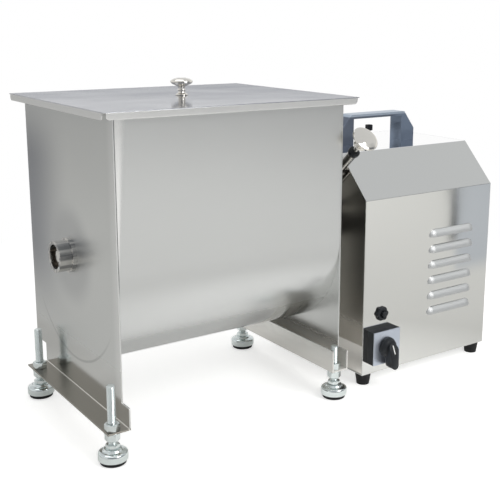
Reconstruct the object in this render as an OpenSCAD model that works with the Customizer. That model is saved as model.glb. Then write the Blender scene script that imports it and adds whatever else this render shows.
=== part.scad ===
// Electric meat mixer: a stainless trough on two end plates, with a paddle shaft
// that a separate geared motor unit drives from the right.
// Millimetres, +Z up, +X from the tank to the motor unit, the front faces -Y.
// The origin is on the floor, under the middle of the whole machine.

/* [Tank] */
// Length over the two end plates
tank_l = 368; // [320:1:460]
// Width of the trough, front to back
tank_w = 307; // [290:1:330]
// Height of the paddle shaft above the floor
axis_z = 243; // [235:1:270]
// Height of the tank rim above the floor
rim_z = 458.3; // [445:0.1:520]
// Thickness of the trough sheet
sheet_t = 1.5; // [1:0.1:2.5]
// Thickness of the end plates
plate_t = 2; // [1.5:0.1:3]
// Width of the outward rim fold on the end plates
rim_fold_x = 12; // [8:0.5:15]
// Width of the outward rim fold on the trough
rim_fold_y = 9; // [6:0.5:12]

/* [Legs] */
// Top of the foot flange above the floor
flange_z = 45.5; // [44:0.5:52]
// Height above the floor where the end plate narrows into the leg
leg_step_z = 74; // [66:1:86]
// Reach of the leg in front of the tank
leg_front = 21.8; // [18:0.2:30]
// Distance of the leg's back edge from the tank's back
leg_back_inset = 36; // [20:1:50]
// Width of the left foot flange
flange_w_left = 30.5; // [30:0.5:40]
// Width of the right foot flange
flange_w_right = 27; // [26:0.5:34]
// Top of the lip on the right foot flange above the floor
lip_z = 78; // [60:1:90]

/* [Levelling feet] */
// Radius of the threaded stud
stud_r = 6; // [5:0.5:6]
// Top of the left studs above the floor
stud_top_left = 107.7; // [90:0.1:115]
// Top of the right studs above the floor
stud_top_right = 82.4; // [76:0.1:90]
// Distance of the left feet from their end plate
foot_off_left = 19.75; // [18:0.25:22]
// Distance of the right feet from their end plate
foot_off_right = 15.75; // [15.5:0.25:17]
// Distance of the front feet in front of the tank
foot_front = 11.2; // [8:0.2:14]
// Spacing of the feet, front to back
foot_pitch = 259.7; // [240:0.1:265]
// Radius of the foot cup
cup_r = 20; // [17:0.5:24]
// Width of the foot nuts across flats
nut_af = 18; // [17:0.5:18.5]
// Thickness of the foot nuts
nut_h = 10; // [8:0.5:11]

/* [Lid] */
// Thickness of the lid sheet
lid_t = 1.2; // [0.8:0.1:2]
// Overhang of the lid beyond the end plates
lid_over_x = 18; // [16:0.5:24]
// Overhang of the lid beyond the trough
lid_over_y = 14.4; // [12:0.2:20]
// Depth of the lid's turned down lips
lid_lip = 10; // [6:0.5:16]
// Gap between the end of a lip and the lid's corner
lid_corner_gap = 4; // [2:0.5:8]
// Radius of the lid knob's head
knob_head_r = 16.5; // [12:0.5:22]
// Height of the lid knob
knob_h = 26; // [20:1:34]

/* [Mixing shaft] */
// Radius of the mixing shaft
shaft_r = 12.5; // [10:0.5:13]
// Radius of the left journal
journal_r = 8; // [6:0.5:9]
// Number of paddles
paddle_count = 4; // [4]
// Gap between the paddle tips and the trough
paddle_gap = 4; // [3:0.5:10]
// Length of a paddle blade along the shaft
blade_l = 62; // [40:1:70]
// Thickness of a paddle blade
blade_t = 4; // [3:0.5:6]
// Turn of a paddle blade about its arm
blade_turn = 25; // [0:1:40]

/* [Shaft bearings] */
// Radius of the left bearing housing
boss_r = 22.5; // [21:0.5:28]
// Reach of the left bearing housing out of the end plate
boss_l = 24; // [20:1:32]
// Radius of the flange on the left bearing housing
boss_flange_r = 25; // [24.5:0.5:34]
// Radius of the drive neck
neck_r = 26; // [25:0.5:28]
// Radius of the drive neck's flange
neck_flange_r = 42; // [40:1:48]

/* [Motor unit] */
// Gap between the tank and the motor unit
unit_gap = 39.5; // [38:0.5:50]
// Width of the motor unit
box_w = 275.5; // [268:0.5:320]
// Height of the motor unit's underside
box_z0 = 19; // [15:0.5:25]
// Height of the motor unit's top
box_z1 = 366.4; // [350:0.2:400]
// Height at which the front starts to slope back
slope_z = 300.8; // [280:0.2:320]
// Distance that the slope runs back
slope_run = 62.7; // [50:0.1:75]
// Distance of the motor unit's front in front of the tank
box_front = 10.7; // [5:0.1:16]
// Depth of the motor unit, front to back
box_d = 238; // [236:1:260]
// Thickness of the motor unit's sheet
box_t = 1.5; // [1:0.1:2]
// Number of louvres
louvre_count = 6; // [2:1:7]
// Length of a louvre
louvre_l = 101; // [60:1:120]
// Distance between louvres
louvre_pitch = 26.2; // [22:0.2:28]
// Height of a louvre's hood
louvre_h = 12; // [9:0.5:14]
// Radius of the motor unit's rubber feet at the top
box_foot_r = 13; // [10:0.5:14]

/* [Handle] */
// Width of the carrying handle
handle_w = 164; // [140:1:180]
// Height of the carrying handle
handle_h = 50; // [40:1:64]
// Depth of the carrying handle, front to back
handle_d = 28; // [20:1:36]
// Width of the handle's posts
post_w = 29; // [26:0.5:36]
// Height of the handle's top bar
bar_h = 7; // [5:0.5:10]

/* [Clamp] */
// Radius of the clamp rod
rod_r = 4.5; // [3.5:0.5:5]
// Distance of the clamp knob's seat from the shaft axis
rod_l = 222; // [216:1:240]
// Angle of the clamp rod above the horizontal
rod_angle = 42; // [40:0.5:45]
// Radius of the clamp knob
clamp_knob_r = 21; // [16:0.5:24]

/* [Controls] */
// Side of the square switch plate
switch_w = 54; // [48:1:60]
// Depth of the switch's base
switch_d = 14; // [8:0.5:20]
// Length of the switch lever
lever_l = 46; // [36:1:50]
// Travel of the reset button
reset_travel = 3; // [2:0.5:4]

/* [Gears] */
// Module of the motor stage's teeth
fast_m = 1.25; // [1.25]
// Module of the output stage's teeth
slow_m = 1.5; // [1.5]

/* [Motor] */
// Radius of the motor's shell
motor_r = 68; // [60:1:70]
// Length of the motor's shell
motor_l = 118; // [100:1:122]

/* [Hidden] */
$fn = 64;
FEET = ["front_left", "back_left", "front_right", "back_right"];

cut = 1;
fit = 0.05;
axis_y = tank_w / 2;
trough_ri = tank_w / 2 - sheet_t;
unit_x = tank_l + unit_gap;
unit_x1 = unit_x + box_w;
unit_y0 = -box_front;
unit_y1 = unit_y0 + box_d;
lid_z = rim_z + lid_t;

// Moves a piece from the tank's front left corner to the machine's origin
module home() {
    translate([-mid_x, -mid_y, 0]) children();
}

// Turns a shape drawn in front-to-back and height so that it stands along the shaft
module along_x(x) {
    translate([x, 0, 0]) rotate([90, 0, 90]) children();
}

// The same, centred on the mixing shaft
module on_axis(x) {
    translate([x, axis_y, axis_z]) rotate([0, 90, 0]) children();
}

module tube(ro, ri, h) {
    difference() {
        cylinder(r = ro, h = h);
        translate([0, 0, -cut]) cylinder(r = ri, h = h + 2 * cut);
    }
}

module hexagon(af, h) {
    cylinder(r = af / 2 / cos(30), h = h, $fn = 6);
}

// Tank body

foot_hole_gap = 0.4;
foot_hole_r = stud_r + foot_hole_gap;
foot_x_left = -foot_off_left;
foot_x_right = tank_l - plate_t - foot_off_right;
foot_y_back = foot_pitch - foot_front;
bearing_hole_r = 20;

// The leg's back edge, and the depth of the flange that carries the feet
leg_y1 = tank_w - leg_back_inset;
flange_over = 22.5;
flange_d = leg_front + foot_y_back + flange_over;

function foot_x(i) = i < 2 ? foot_x_left : foot_x_right;
function foot_y(i) = i % 2 == 0 ? -foot_front : foot_y_back;
function stud_top(i) = i < 2 ? stud_top_left : stud_top_right;

module end_plate(x, flange_w, holes) {
    difference() {
        union() {
            along_x(x) linear_extrude(plate_t) polygon([[0, rim_z], [0, leg_step_z],
                [-leg_front, leg_step_z], [-leg_front, flange_z - plate_t],
                [leg_y1, flange_z - plate_t], [leg_y1, leg_step_z], [tank_w, leg_step_z], [tank_w, rim_z]]);
            translate([x - flange_w, -leg_front, flange_z - plate_t]) cube([flange_w + plate_t, flange_d, plate_t]);
        }
        on_axis(x - cut) cylinder(r = bearing_hole_r, h = plate_t + 2 * cut);
        for (i = holes)
            translate([foot_x(i), foot_y(i), flange_z - plate_t - cut])
                cylinder(r = foot_hole_r, h = plate_t + 2 * cut);
    }
}

module left_end_plate() {
    color("silver") home() {
        end_plate(0, flange_w_left, [0, 1]);
        translate([-rim_fold_x, 0, rim_z - plate_t]) cube([rim_fold_x + plate_t, tank_w, plate_t]);
    }
}

module right_end_plate() {
    color("silver") home() {
        end_plate(tank_l - plate_t, flange_w_right, [2, 3]);
        translate([tank_l - plate_t, 0, rim_z - plate_t]) cube([rim_fold_x + plate_t, tank_w, plate_t]);
        translate([tank_l - plate_t - flange_w_right, -leg_front, flange_z - plate_t])
            cube([plate_t, flange_d, lip_z - flange_z + plate_t]);
    }
}

module trough_outline(r) {
    circle(r = r, $fn = 128);
    translate([-r, 0]) square([2 * r, rim_z - axis_z]);
}

module trough() {
    inside_l = tank_l - 2 * plate_t;
    color("lightgray") home() {
        along_x(plate_t) translate([axis_y, axis_z]) linear_extrude(inside_l) difference() {
            trough_outline(tank_w / 2);
            trough_outline(trough_ri);
            translate([-trough_ri, 0]) square([2 * trough_ri, rim_z - axis_z + cut]);
        }
        for (y = [-rim_fold_y, tank_w - sheet_t])
            translate([plate_t, y, rim_z - sheet_t]) cube([inside_l, rim_fold_y + sheet_t, sheet_t]);
    }
}

// Shaft bearings of the tank

boss_flange_t = 6;
boss_hollow_r = 17.5;
boss_hollow_l = 10;
bush_r = 16;
seal_r = 17;
seal_t = 3;
right_seal_r = 22;
neck_flange_t = 8;
neck_l = 50;
right_bush_r = 17.5;
neck_pcd_r = 34;
neck_screw_r = 3;
neck_head_r = 5;
neck_head_h = 4;
housing_screw_r = 2;
housing_screw_turn = -50;

module left_bearing_housing() {
    color("silver") home() difference() {
        union() {
            on_axis(-boss_l) cylinder(r = boss_r, h = boss_l);
            on_axis(-boss_flange_t) cylinder(r = boss_flange_r, h = boss_flange_t);
            on_axis(0) cylinder(r = bearing_hole_r, h = plate_t);
        }
        on_axis(-boss_l - cut) cylinder(r = bush_r, h = boss_l + plate_t + 2 * cut);
        on_axis(-boss_l - cut) cylinder(r = boss_hollow_r, h = boss_hollow_l + cut);
        housing_screw_place() translate([0, 0, -cut]) cylinder(r = housing_screw_r, h = boss_hollow_l + cut);
    }
}

module housing_screw_place() {
    on_axis(-boss_l) rotate([0, 0, housing_screw_turn])
        translate([(boss_r + boss_hollow_r) / 2, 0, 0]) children();
}

module housing_screw() {
    screw_l = boss_hollow_l * 0.8;
    color("gray") home() housing_screw_place() cylinder(r = housing_screw_r, h = screw_l);
}

module left_bush() {
    bush_l = boss_l - boss_hollow_l + plate_t;
    color("peru") home() on_axis(-boss_l + boss_hollow_l) tube(bush_r, journal_r + fit, bush_l);
}

module left_shaft_seal() {
    color("white") home() on_axis(plate_t) tube(seal_r, journal_r + fit, seal_t);
}

module drive_neck() {
    color("gainsboro") home() difference() {
        union() {
            on_axis(tank_l) cylinder(r = neck_flange_r, h = neck_flange_t);
            on_axis(tank_l) cylinder(r = neck_r, h = neck_l);
            on_axis(tank_l - plate_t) cylinder(r = bearing_hole_r, h = plate_t);
        }
        on_axis(tank_l - plate_t - cut) cylinder(r = right_bush_r, h = neck_l + plate_t + 2 * cut);
        neck_screw_places() cylinder(r = neck_screw_r, h = neck_flange_t + cut);
    }
}

module neck_screw_places() {
    for (i = [0:3])
        on_axis(tank_l) rotate([0, 0, 45 + 90 * i]) translate([neck_pcd_r, 0, 0]) children();
}

module neck_screws() {
    color("gray") home() neck_screw_places() {
        cylinder(r = neck_screw_r, h = neck_flange_t);
        translate([0, 0, neck_flange_t]) difference() {
            cylinder(r = neck_head_r, h = neck_head_h);
            translate([0, 0, neck_head_h / 2]) hexagon(neck_head_r, neck_head_h);
        }
    }
}

module right_bush() {
    color("peru") home() on_axis(tank_l - plate_t) tube(right_bush_r, shaft_r + fit, neck_l + plate_t);
}

module right_shaft_seal() {
    color("white") home() on_axis(tank_l - plate_t - seal_t) tube(right_seal_r, shaft_r + fit, seal_t);
}

// Levelling feet

pad_r = cup_r * 0.88;
pad_h = 7;
cup_z0 = 5.5;
cup_z1 = 16;
cup_top_r = cup_r * 0.55;
collar_z0 = 21;
collar_z1 = 27;
collar_af = 17;
pad_groove = 0.8;
washer_r = 11;
washer_t = 1.5;

module foot_place(i) {
    home() translate([foot_x(i), foot_y(i), 0]) children();
}

module foot_pad(i) {
    color("#1b1b1b") foot_place(i) {
        cylinder(r = pad_r - pad_groove, h = pad_groove);
        translate([0, 0, pad_groove]) cylinder(r = pad_r, h = pad_h - pad_groove);
    }
}

module foot_cup(i) {
    color("lightgray") foot_place(i) difference() {
        union() {
            translate([0, 0, cup_z0]) cylinder(r = cup_r, h = cup_z1 - cup_z0);
            translate([0, 0, cup_z1]) cylinder(r1 = cup_r, r2 = cup_top_r, h = collar_z0 - cup_z1);
        }
        translate([0, 0, cup_z0 - cut]) cylinder(r = pad_r, h = pad_h - cup_z0 + cut);
    }
}

module foot_stud(i) {
    color("silver") foot_place(i) {
        translate([0, 0, collar_z0]) hexagon(collar_af, collar_z1 - collar_z0);
        translate([0, 0, collar_z1]) cylinder(r = stud_r, h = stud_top(i) - collar_z1);
    }
}

module foot_nuts(z) {
    home() for (i = [0:3])
        translate([foot_x(i), foot_y(i), z]) difference() {
            rotate([0, 0, 30]) hexagon(nut_af, nut_h);
            translate([0, 0, -cut]) cylinder(r = stud_r + fit, h = nut_h + 2 * cut);
        }
}

module upper_foot_nuts() {
    color("silver") foot_nuts(flange_z);
}

module lower_foot_nuts() {
    color("silver") {
        foot_nuts(flange_z - plate_t - washer_t - nut_h);
        home() for (i = [0:3])
            translate([foot_x(i), foot_y(i), flange_z - plate_t - washer_t])
                tube(washer_r, stud_r + fit, washer_t);
    }
}

// Lid

lid_x0 = -lid_over_x;
lid_y0 = -lid_over_y;
lid_l = tank_l + 2 * lid_over_x;
lid_w = tank_w + 2 * lid_over_y;
lip_round = lid_lip * 0.5;
lid_screw_r = 3;
lid_washer_r = 7;
lid_washer_t = 1.5;
lid_nut_h = 4;

// A lip from above: flat along its top, round at its two lower corners
module lip_shape(l) {
    translate([0, lip_round]) square([l, lid_lip - lip_round]);
    translate([lip_round, 0]) square([l - 2 * lip_round, lid_lip]);
    for (x = [lip_round, l - lip_round]) translate([x, lip_round]) circle(r = lip_round);
}

module lid() {
    lip_l = lid_l - 2 * lid_corner_gap;
    lip_w = lid_w - 2 * lid_corner_gap;
    color("whitesmoke") home() translate([lid_x0, lid_y0, lid_z]) difference() {
        union() {
            translate([0, 0, -lid_t]) cube([lid_l, lid_w, lid_t]);
            for (y = [lid_t, lid_w])
                translate([lid_corner_gap, y, -lid_lip]) rotate([90, 0, 0])
                    linear_extrude(lid_t) lip_shape(lip_l);
            for (x = [0, lid_l - lid_t])
                translate([x, lid_corner_gap, -lid_lip]) rotate([90, 0, 90])
                    linear_extrude(lid_t) lip_shape(lip_w);
        }
        translate([lid_l / 2, lid_w / 2, -lid_t - cut]) cylinder(r = lid_screw_r, h = lid_t + 2 * cut);
    }
}

// A turned mushroom knob standing on its flared base
module mushroom(head_r, h, bore_r) {
    base_r = head_r * 0.56;
    neck = head_r * 0.3;
    rim_h = h * 0.12;
    cap_h = h * 0.2;
    flare_h = h * 0.36;
    under_h = h * 0.32;
    dome_r = (head_r * head_r + cap_h * cap_h) / (2 * cap_h);
    difference() {
        union() {
            rotate_extrude() difference() {
                square([base_r, flare_h]);
                translate([neck + flare_h, flare_h + rim_h / 2]) circle(r = flare_h);
            }
            cylinder(r = neck, h = h - cap_h);
            translate([0, 0, flare_h]) cylinder(r1 = neck, r2 = head_r, h = under_h);
            translate([0, 0, flare_h + under_h]) cylinder(r = head_r, h = rim_h);
            translate([0, 0, h - cap_h]) intersection() {
                translate([0, 0, cap_h - dome_r]) sphere(r = dome_r, $fn = 96);
                cylinder(r = head_r, h = cap_h);
            }
        }
        translate([0, 0, -cut]) cylinder(r = bore_r, h = h / 2 + cut);
    }
}

module lid_centre() {
    home() translate([tank_l / 2, axis_y, lid_z]) children();
}

module lid_knob() {
    color("white") lid_centre() mushroom(knob_head_r, knob_h, lid_screw_r);
}

module lid_knob_screw() {
    color("gray") lid_centre() {
        translate([0, 0, -lid_t]) cylinder(r = lid_screw_r, h = lid_t + knob_h / 2);
        translate([0, 0, -lid_t - lid_washer_t]) cylinder(r = lid_washer_r, h = lid_washer_t);
        translate([0, 0, -lid_t - lid_washer_t - lid_nut_h]) hexagon(lid_washer_r * 1.4, lid_nut_h);
    }
}

// Mixing shaft with its paddles

journal_end = boss_l * 0.8;
tang_t = 10;
tang_w = 20;
tang_l = 12;
tang_play = 0.3;
tang_stand = 2;
shaft_end = tank_l + neck_l + tang_stand;
hub_r = 19;
hub_l = 22;
arm_r = 6;
paddle_r = trough_ri - paddle_gap;
blade_h = paddle_r * 0.34;

module mixing_shaft() {
    journal_l = journal_end + plate_t + seal_t + fit + cut;
    color("lightsteelblue") home() {
        on_axis(-journal_end) cylinder(r = journal_r, h = journal_l);
        on_axis(plate_t + seal_t + fit) cylinder(r = shaft_r, h = shaft_end - plate_t - seal_t - fit);
        translate([shaft_end, axis_y - tang_t / 2, axis_z - tang_w / 2]) cube([tang_l, tang_t, tang_w]);
    }
}

function paddle_x(i) = tank_l * (i + 0.5) / paddle_count;

module paddle(i) {
    color("gainsboro") home() on_axis(paddle_x(i)) rotate([0, 0, 45 + 90 * i]) difference() {
        union() {
            translate([0, 0, -hub_l / 2]) cylinder(r = hub_r, h = hub_l);
            intersection() {
                rotate([0, 90, 0]) union() {
                    cylinder(r = arm_r, h = paddle_r - blade_h / 2);
                    rotate([0, 0, blade_turn]) translate([-blade_l / 2, -blade_t / 2, paddle_r - blade_h])
                        cube([blade_l, blade_t, blade_h]);
                }
                translate([0, 0, -blade_l]) cylinder(r = paddle_r, h = 2 * blade_l, $fn = 128);
            }
        }
        translate([0, 0, -blade_l]) cylinder(r = shaft_r, h = 2 * blade_l);
    }
}

// Motor unit: sheet metal case

edge_in = 1;
slope_len = sqrt(slope_run * slope_run + (box_z1 - slope_z) * (box_z1 - slope_z));
louvre_edge = 39;
louvre_x = unit_x1 - louvre_edge - louvre_l / 2;
louvre_z0 = 95;
louvre_out = 6;
louvre_back = (louvre_h * louvre_h - louvre_out * louvre_out) / (2 * louvre_out);
louvre_arc = louvre_out + louvre_back;
gland_in_x = 83;
gland_up = 40;
gland_x = unit_x + gland_in_x;
gland_z = box_z0 + gland_up;
gland_hole_r = 8;
gland_nut_r = 11;
gland_out = 16;
gland_bore_r = 4;
gland_in = 8;
control_in = 37;
control_x = unit_x + control_in;
switch_up = 46;
switch_z = box_z0 + switch_up;
reset_up = 51;
reset_z = switch_z + reset_up;
reset_hole_r = 6;
switch_hole_r = 11;
hub_hole_r = 38.5;

// The case's outline from the left, and the same drawn in by a sheet's thickness
module case_outline(t) {
    s = t * slope_len / slope_run - t * (box_z1 - slope_z) / slope_run;
    q = t * slope_len / (box_z1 - slope_z) - t * slope_run / (box_z1 - slope_z);
    polygon([[unit_y0 + t, box_z0], [unit_y0 + t, slope_z + s], [unit_y0 + slope_run + q, box_z1 - t],
        [unit_y1 - t, box_z1 - t], [unit_y1 - t, box_z0]]);
}

// A louvre's full form: a rod with round ends, its axis behind the front sheet
module louvre_form(i, r) {
    straight = louvre_l - 2 * louvre_h;
    translate([louvre_x - straight / 2, unit_y0 + louvre_back, louvre_z0 + louvre_pitch * i]) rotate([0, 90, 0]) {
        cylinder(r = r, h = straight);
        for (z = [0, straight]) translate([0, 0, z]) sphere(r = r);
    }
}

// The space that a louvre fills above its open lower edge, between two depths
module louvre_space(i, from, to) {
    translate([louvre_x - louvre_l, unit_y0 + from, louvre_z0 + louvre_pitch * i])
        cube([2 * louvre_l, to - from, 2 * louvre_h]);
}

module louvre_hood(i) {
    difference() {
        intersection() {
            louvre_form(i, louvre_arc);
            louvre_space(i, -louvre_out - cut, 0);
        }
        louvre_form(i, louvre_arc - box_t);
    }
}

module louvre_hole(i) {
    intersection() {
        louvre_form(i, louvre_arc - box_t);
        louvre_space(i, -cut, box_t + cut);
    }
}

module front_cover() {
    color("gainsboro") home() {
        difference() {
            along_x(unit_x) linear_extrude(box_w) difference() {
                case_outline(0);
                case_outline(box_t);
                translate([unit_y1 - box_t, box_z0 - cut]) square([box_t + cut, box_z1 - box_z0 - box_t + cut]);
                translate([unit_y0 + box_t, box_z0 - cut]) square([box_d, slope_z - box_z0 + cut]);
            }
            for (i = [0:louvre_count - 1]) louvre_hole(i);
            translate([control_x, unit_y0 - cut, switch_z]) rotate([-90, 0, 0])
                cylinder(r = switch_hole_r, h = box_t + 2 * cut);
            translate([control_x, unit_y0 - cut, reset_z]) rotate([-90, 0, 0])
                cylinder(r = reset_hole_r, h = box_t + 2 * cut);
        }
        for (i = [0:louvre_count - 1]) louvre_hood(i);
    }
}

// A side panel fills the case's outline between the cover, the base and the back
module side_panel(x) {
    along_x(x) linear_extrude(box_t) difference() {
        case_outline(box_t);
        translate([unit_y0, box_z0 - cut]) square([box_d, box_t + cut]);
        translate([unit_y1 - box_t, box_z0 - cut]) square([box_t + cut, box_z1]);
    }
}

module left_side_panel() {
    color("dimgray") home() difference() {
        side_panel(unit_x + edge_in);
        on_axis(unit_x) cylinder(r = hub_hole_r, h = edge_in + box_t + cut);
    }
}

module right_side_panel() {
    color("silver") home() side_panel(unit_x1 - edge_in - box_t);
}

module back_panel() {
    color("silver") home() difference() {
        translate([unit_x, unit_y1 - box_t, box_z0]) cube([box_w, box_t, box_z1 - box_z0 - box_t]);
        translate([gland_x, unit_y1 - box_t - cut, gland_z]) rotate([-90, 0, 0])
            cylinder(r = gland_hole_r, h = box_t + 2 * cut);
    }
}

module base_plate() {
    color("silver") home() translate([unit_x, unit_y0 + box_t, box_z0])
        cube([box_w, box_d - 2 * box_t, box_t]);
}

box_foot_low_r = box_foot_r * 0.78;
box_foot_in = 14;

module rubber_feet() {
    color("#1b1b1b") home()
        for (x = [unit_x + box_foot_in, unit_x1 - box_foot_in], y = [unit_y0 + box_foot_in, unit_y1 - box_foot_in])
            translate([x, y, 0]) cylinder(r1 = box_foot_low_r, r2 = box_foot_r, h = box_z0);
}

panel_head_r = 4;
panel_head_h = 2.5;
panel_screw_in = 14;

module panel_screws() {
    color("gray") home()
        for (x = [unit_x + panel_screw_in, unit_x1 - panel_screw_in],
             z = [box_z0 + panel_screw_in, (box_z0 + box_z1) / 2, box_z1 - panel_screw_in])
            translate([x, unit_y1, z]) rotate([-90, 0, 0]) cylinder(r = panel_head_r, h = panel_head_h);
}

// Carrying handle: a folded hoop with cut corners, open at the back

handle_in_x = 129.7;
handle_in_y = 124.7;
handle_x = unit_x + handle_in_x;
handle_y = unit_y0 + handle_in_y;
handle_cut_x = 22.7;
handle_cut_z = 29.4;

module hoop_outline(t) {
    w = handle_w / 2 - t;
    h = handle_h - t;
    polygon([[-w, 0], [-w, handle_h - handle_cut_z - t / 3], [-w + handle_cut_x - t / 3, h],
        [w - handle_cut_x + t / 3, h], [w, handle_h - handle_cut_z - t / 3], [w, 0]]);
}

module handle() {
    window_w = handle_w - 2 * post_w;
    window_h = handle_h - bar_h;
    color("slategray") home() translate([handle_x, handle_y, box_z1]) rotate([90, 0, 0])
        translate([0, 0, -handle_d]) difference() {
            linear_extrude(handle_d) difference() {
                hoop_outline(0);
                translate([-window_w / 2, -cut]) square([window_w, window_h + cut]);
            }
            translate([0, 0, -cut]) linear_extrude(handle_d - box_t + cut) difference() {
                hoop_outline(box_t);
                translate([-window_w / 2 - box_t, -cut]) square([window_w + 2 * box_t, window_h + box_t + cut]);
                translate([-handle_w, -cut]) square([2 * handle_w, box_t + cut]);
            }
        }
}

plug_in_x = 149.5;
plug_in_y = 170.7;
plug_x = unit_x + plug_in_x;
plug_y = unit_y0 + plug_in_y;
plug_neck_r = 3;
plug_neck_h = 15;
plug_cap = 10;

module filler_plug() {
    color("#1b1b1b") home() translate([plug_x, plug_y, box_z1]) {
        cylinder(r = plug_neck_r, h = plug_neck_h);
        translate([-plug_cap / 2, -plug_cap / 2, plug_neck_h]) cube(plug_cap);
    }
}

// Drive hub that takes the tank's neck, and the rod that clamps it

hub_out = 22;
hub_or = 38;
hub_depth = 36;
hub_flange_r = 56;
hub_flange_t = 7;
hub_inner_l = 38;
hub_boss_r = 9.5;
hub_boss_l = 54;
rod_out = 12;
rod_tip_gap = 0.3;
rod_x = unit_x - rod_out;
rod_tip = neck_r + rod_tip_gap;
bearing_r = 26;
out_r = 15;
// Where the rod's line passes the case's sloping edge, measured from the shaft's axis
edge_away = (axis_y - unit_y0) * (box_z1 - slope_z) + (slope_z - axis_z) * slope_run;
rod_edge = edge_away / ((box_z1 - slope_z) * cos(rod_angle) + slope_run * sin(rod_angle));
sleeve_in = 12.7;
sleeve_foot = 9;
sleeve_r = 7.5;
ring_t = 7;
ring_r = 9;
ring_gap = 2;
knob_stand = 13;
clamp_knob_h = clamp_knob_r * 1.05;
clamp_knob_from = rod_l - clamp_knob_h * 0.36;
sleeve_from = rod_edge - sleeve_in;
sleeve_to = clamp_knob_from - knob_stand - ring_t - ring_gap;

// Points up the clamp rod, away from the shaft's axis
module along_rod(from) {
    translate([rod_x, axis_y, axis_z]) rotate([90 - rod_angle, 0, 0]) translate([0, 0, from]) children();
}

hub_back_x = unit_x + edge_in + box_t + hub_inner_l;

module drive_hub() {
    color("silver") home() difference() {
        union() {
            on_axis(unit_x - hub_out) cylinder(r = hub_or, h = hub_back_x - unit_x + hub_out);
            on_axis(unit_x + edge_in + box_t) cylinder(r = hub_flange_r, h = hub_flange_t);
            along_rod(0) cylinder(r = hub_boss_r, h = hub_boss_l);
        }
        on_axis(unit_x - hub_out - cut) cylinder(r = neck_r + fit, h = hub_depth + cut);
        on_axis(unit_x) cylinder(r = bearing_r, h = hub_back_x - unit_x + cut);
        along_rod(neck_r / 2) cylinder(r = rod_r + fit, h = hub_boss_l);
    }
}

module clamp_sleeve() {
    color("tan") home() difference() {
        union() {
            along_rod(sleeve_from) cylinder(r = sleeve_r, h = sleeve_to - sleeve_from);
            along_rod(sleeve_from) translate([0, -rod_r, 0])
                cube([unit_x + edge_in - rod_x, 2 * rod_r, sleeve_foot]);
        }
        along_rod(sleeve_from - cut) cylinder(r = rod_r + fit, h = sleeve_to - sleeve_from + 2 * cut);
    }
}

module clamp_rod() {
    color("lightgray") home() along_rod(rod_tip) cylinder(r = rod_r, h = clamp_knob_from + clamp_knob_h / 2 - rod_tip);
}

module clamp_collar() {
    color("#1b1b1b") home() along_rod(sleeve_to + ring_gap) tube(ring_r, rod_r, ring_t);
}

module clamp_knob() {
    color("beige") home() along_rod(clamp_knob_from) mushroom(clamp_knob_r, clamp_knob_h, rod_r);
}

// Controls

plate_d = 1.5;
switch_core_w = 40;
switch_core_l = 48;
lever_base_r = 14;
lever_base_h = 10;
lever_wide_r = 9;
lever_end_r = 6.5;
lever_h = 12;
lever_gap = 0.5;
lobe_count = 6;
lobe_r = 3.2;
lobe_pcd_r = 8.6;
lobe_body_r = 9.4;
reset_nut_h = 5;
reset_r = 5;
reset_out = 5;
reset_core_w = 16;
reset_core_l = 30;

// The whole machine's extent, which places the origin
lever_out = switch_d + plate_d + lever_gap + lever_base_h + lever_h;
far_left = foot_off_left + cup_r;
far_front = max(foot_front + cup_r, box_front + lever_out);
far_back = max(tank_w + lid_over_y, unit_y1 + gland_out);
mid_x = (unit_x1 - far_left) / 2;
mid_y = (far_back - far_front) / 2;

module on_front(z) {
    home() translate([control_x, unit_y0, z]) rotate([90, 0, 0]) children();
}

module switch_body() {
    color("#1b1b1b") on_front(switch_z) {
        translate([-switch_w / 2, -switch_w / 2, 0]) cube([switch_w, switch_w, switch_d]);
        translate([0, 0, -box_t - cut]) cylinder(r = switch_hole_r, h = box_t + 2 * cut);
        translate([-switch_core_w / 2, -switch_core_w / 2, -box_t - switch_core_l])
            cube([switch_core_w, switch_core_w, switch_core_l]);
    }
}

module switch_plate() {
    color("gainsboro") on_front(switch_z) difference() {
        translate([-switch_w / 2, -switch_w / 2, switch_d]) cube([switch_w, switch_w, plate_d]);
        translate([0, 0, switch_d - cut]) cylinder(r = reset_r, h = plate_d + 2 * cut);
    }
}

module switch_lever() {
    from = switch_d + plate_d + lever_gap;
    reach = lever_l - lever_base_r - lever_end_r;
    color("#1b1b1b") on_front(switch_z) {
        translate([0, 0, switch_d]) cylinder(r = reset_r - fit, h = plate_d + lever_gap);
        translate([0, 0, from]) cylinder(r = lever_base_r, h = lever_base_h);
        translate([0, 0, from + lever_base_h]) linear_extrude(lever_h) {
            circle(r = lever_wide_r);
            translate([0, -reach]) circle(r = lever_end_r);
            polygon([[-lever_wide_r, 0], [lever_wide_r, 0], [lever_end_r, -reach], [-lever_end_r, -reach]]);
        }
    }
}

module reset_breaker() {
    color("#1b1b1b") on_front(reset_z) difference() {
        union() {
            cylinder(r = lobe_body_r, h = reset_nut_h);
            for (i = [0:lobe_count - 1]) rotate([0, 0, 360 * i / lobe_count])
                translate([lobe_pcd_r, 0, 0]) cylinder(r = lobe_r, h = reset_nut_h);
            translate([0, 0, -box_t - cut]) cylinder(r = reset_hole_r, h = box_t + 2 * cut);
            translate([-reset_core_w / 2, -reset_core_w / 2, -box_t - reset_core_l])
                cube([reset_core_w, reset_core_w, reset_core_l]);
        }
        translate([0, 0, -reset_core_l / 2]) cylinder(r = reset_r + fit, h = reset_core_l);
    }
}

module reset_button() {
    stem_l = reset_core_l / 2 - reset_travel - fit;
    color("#262626") on_front(reset_z) translate([0, 0, -stem_l]) cylinder(r = reset_r, h = stem_l + reset_nut_h + reset_out);
}

// Gears and motor

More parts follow.
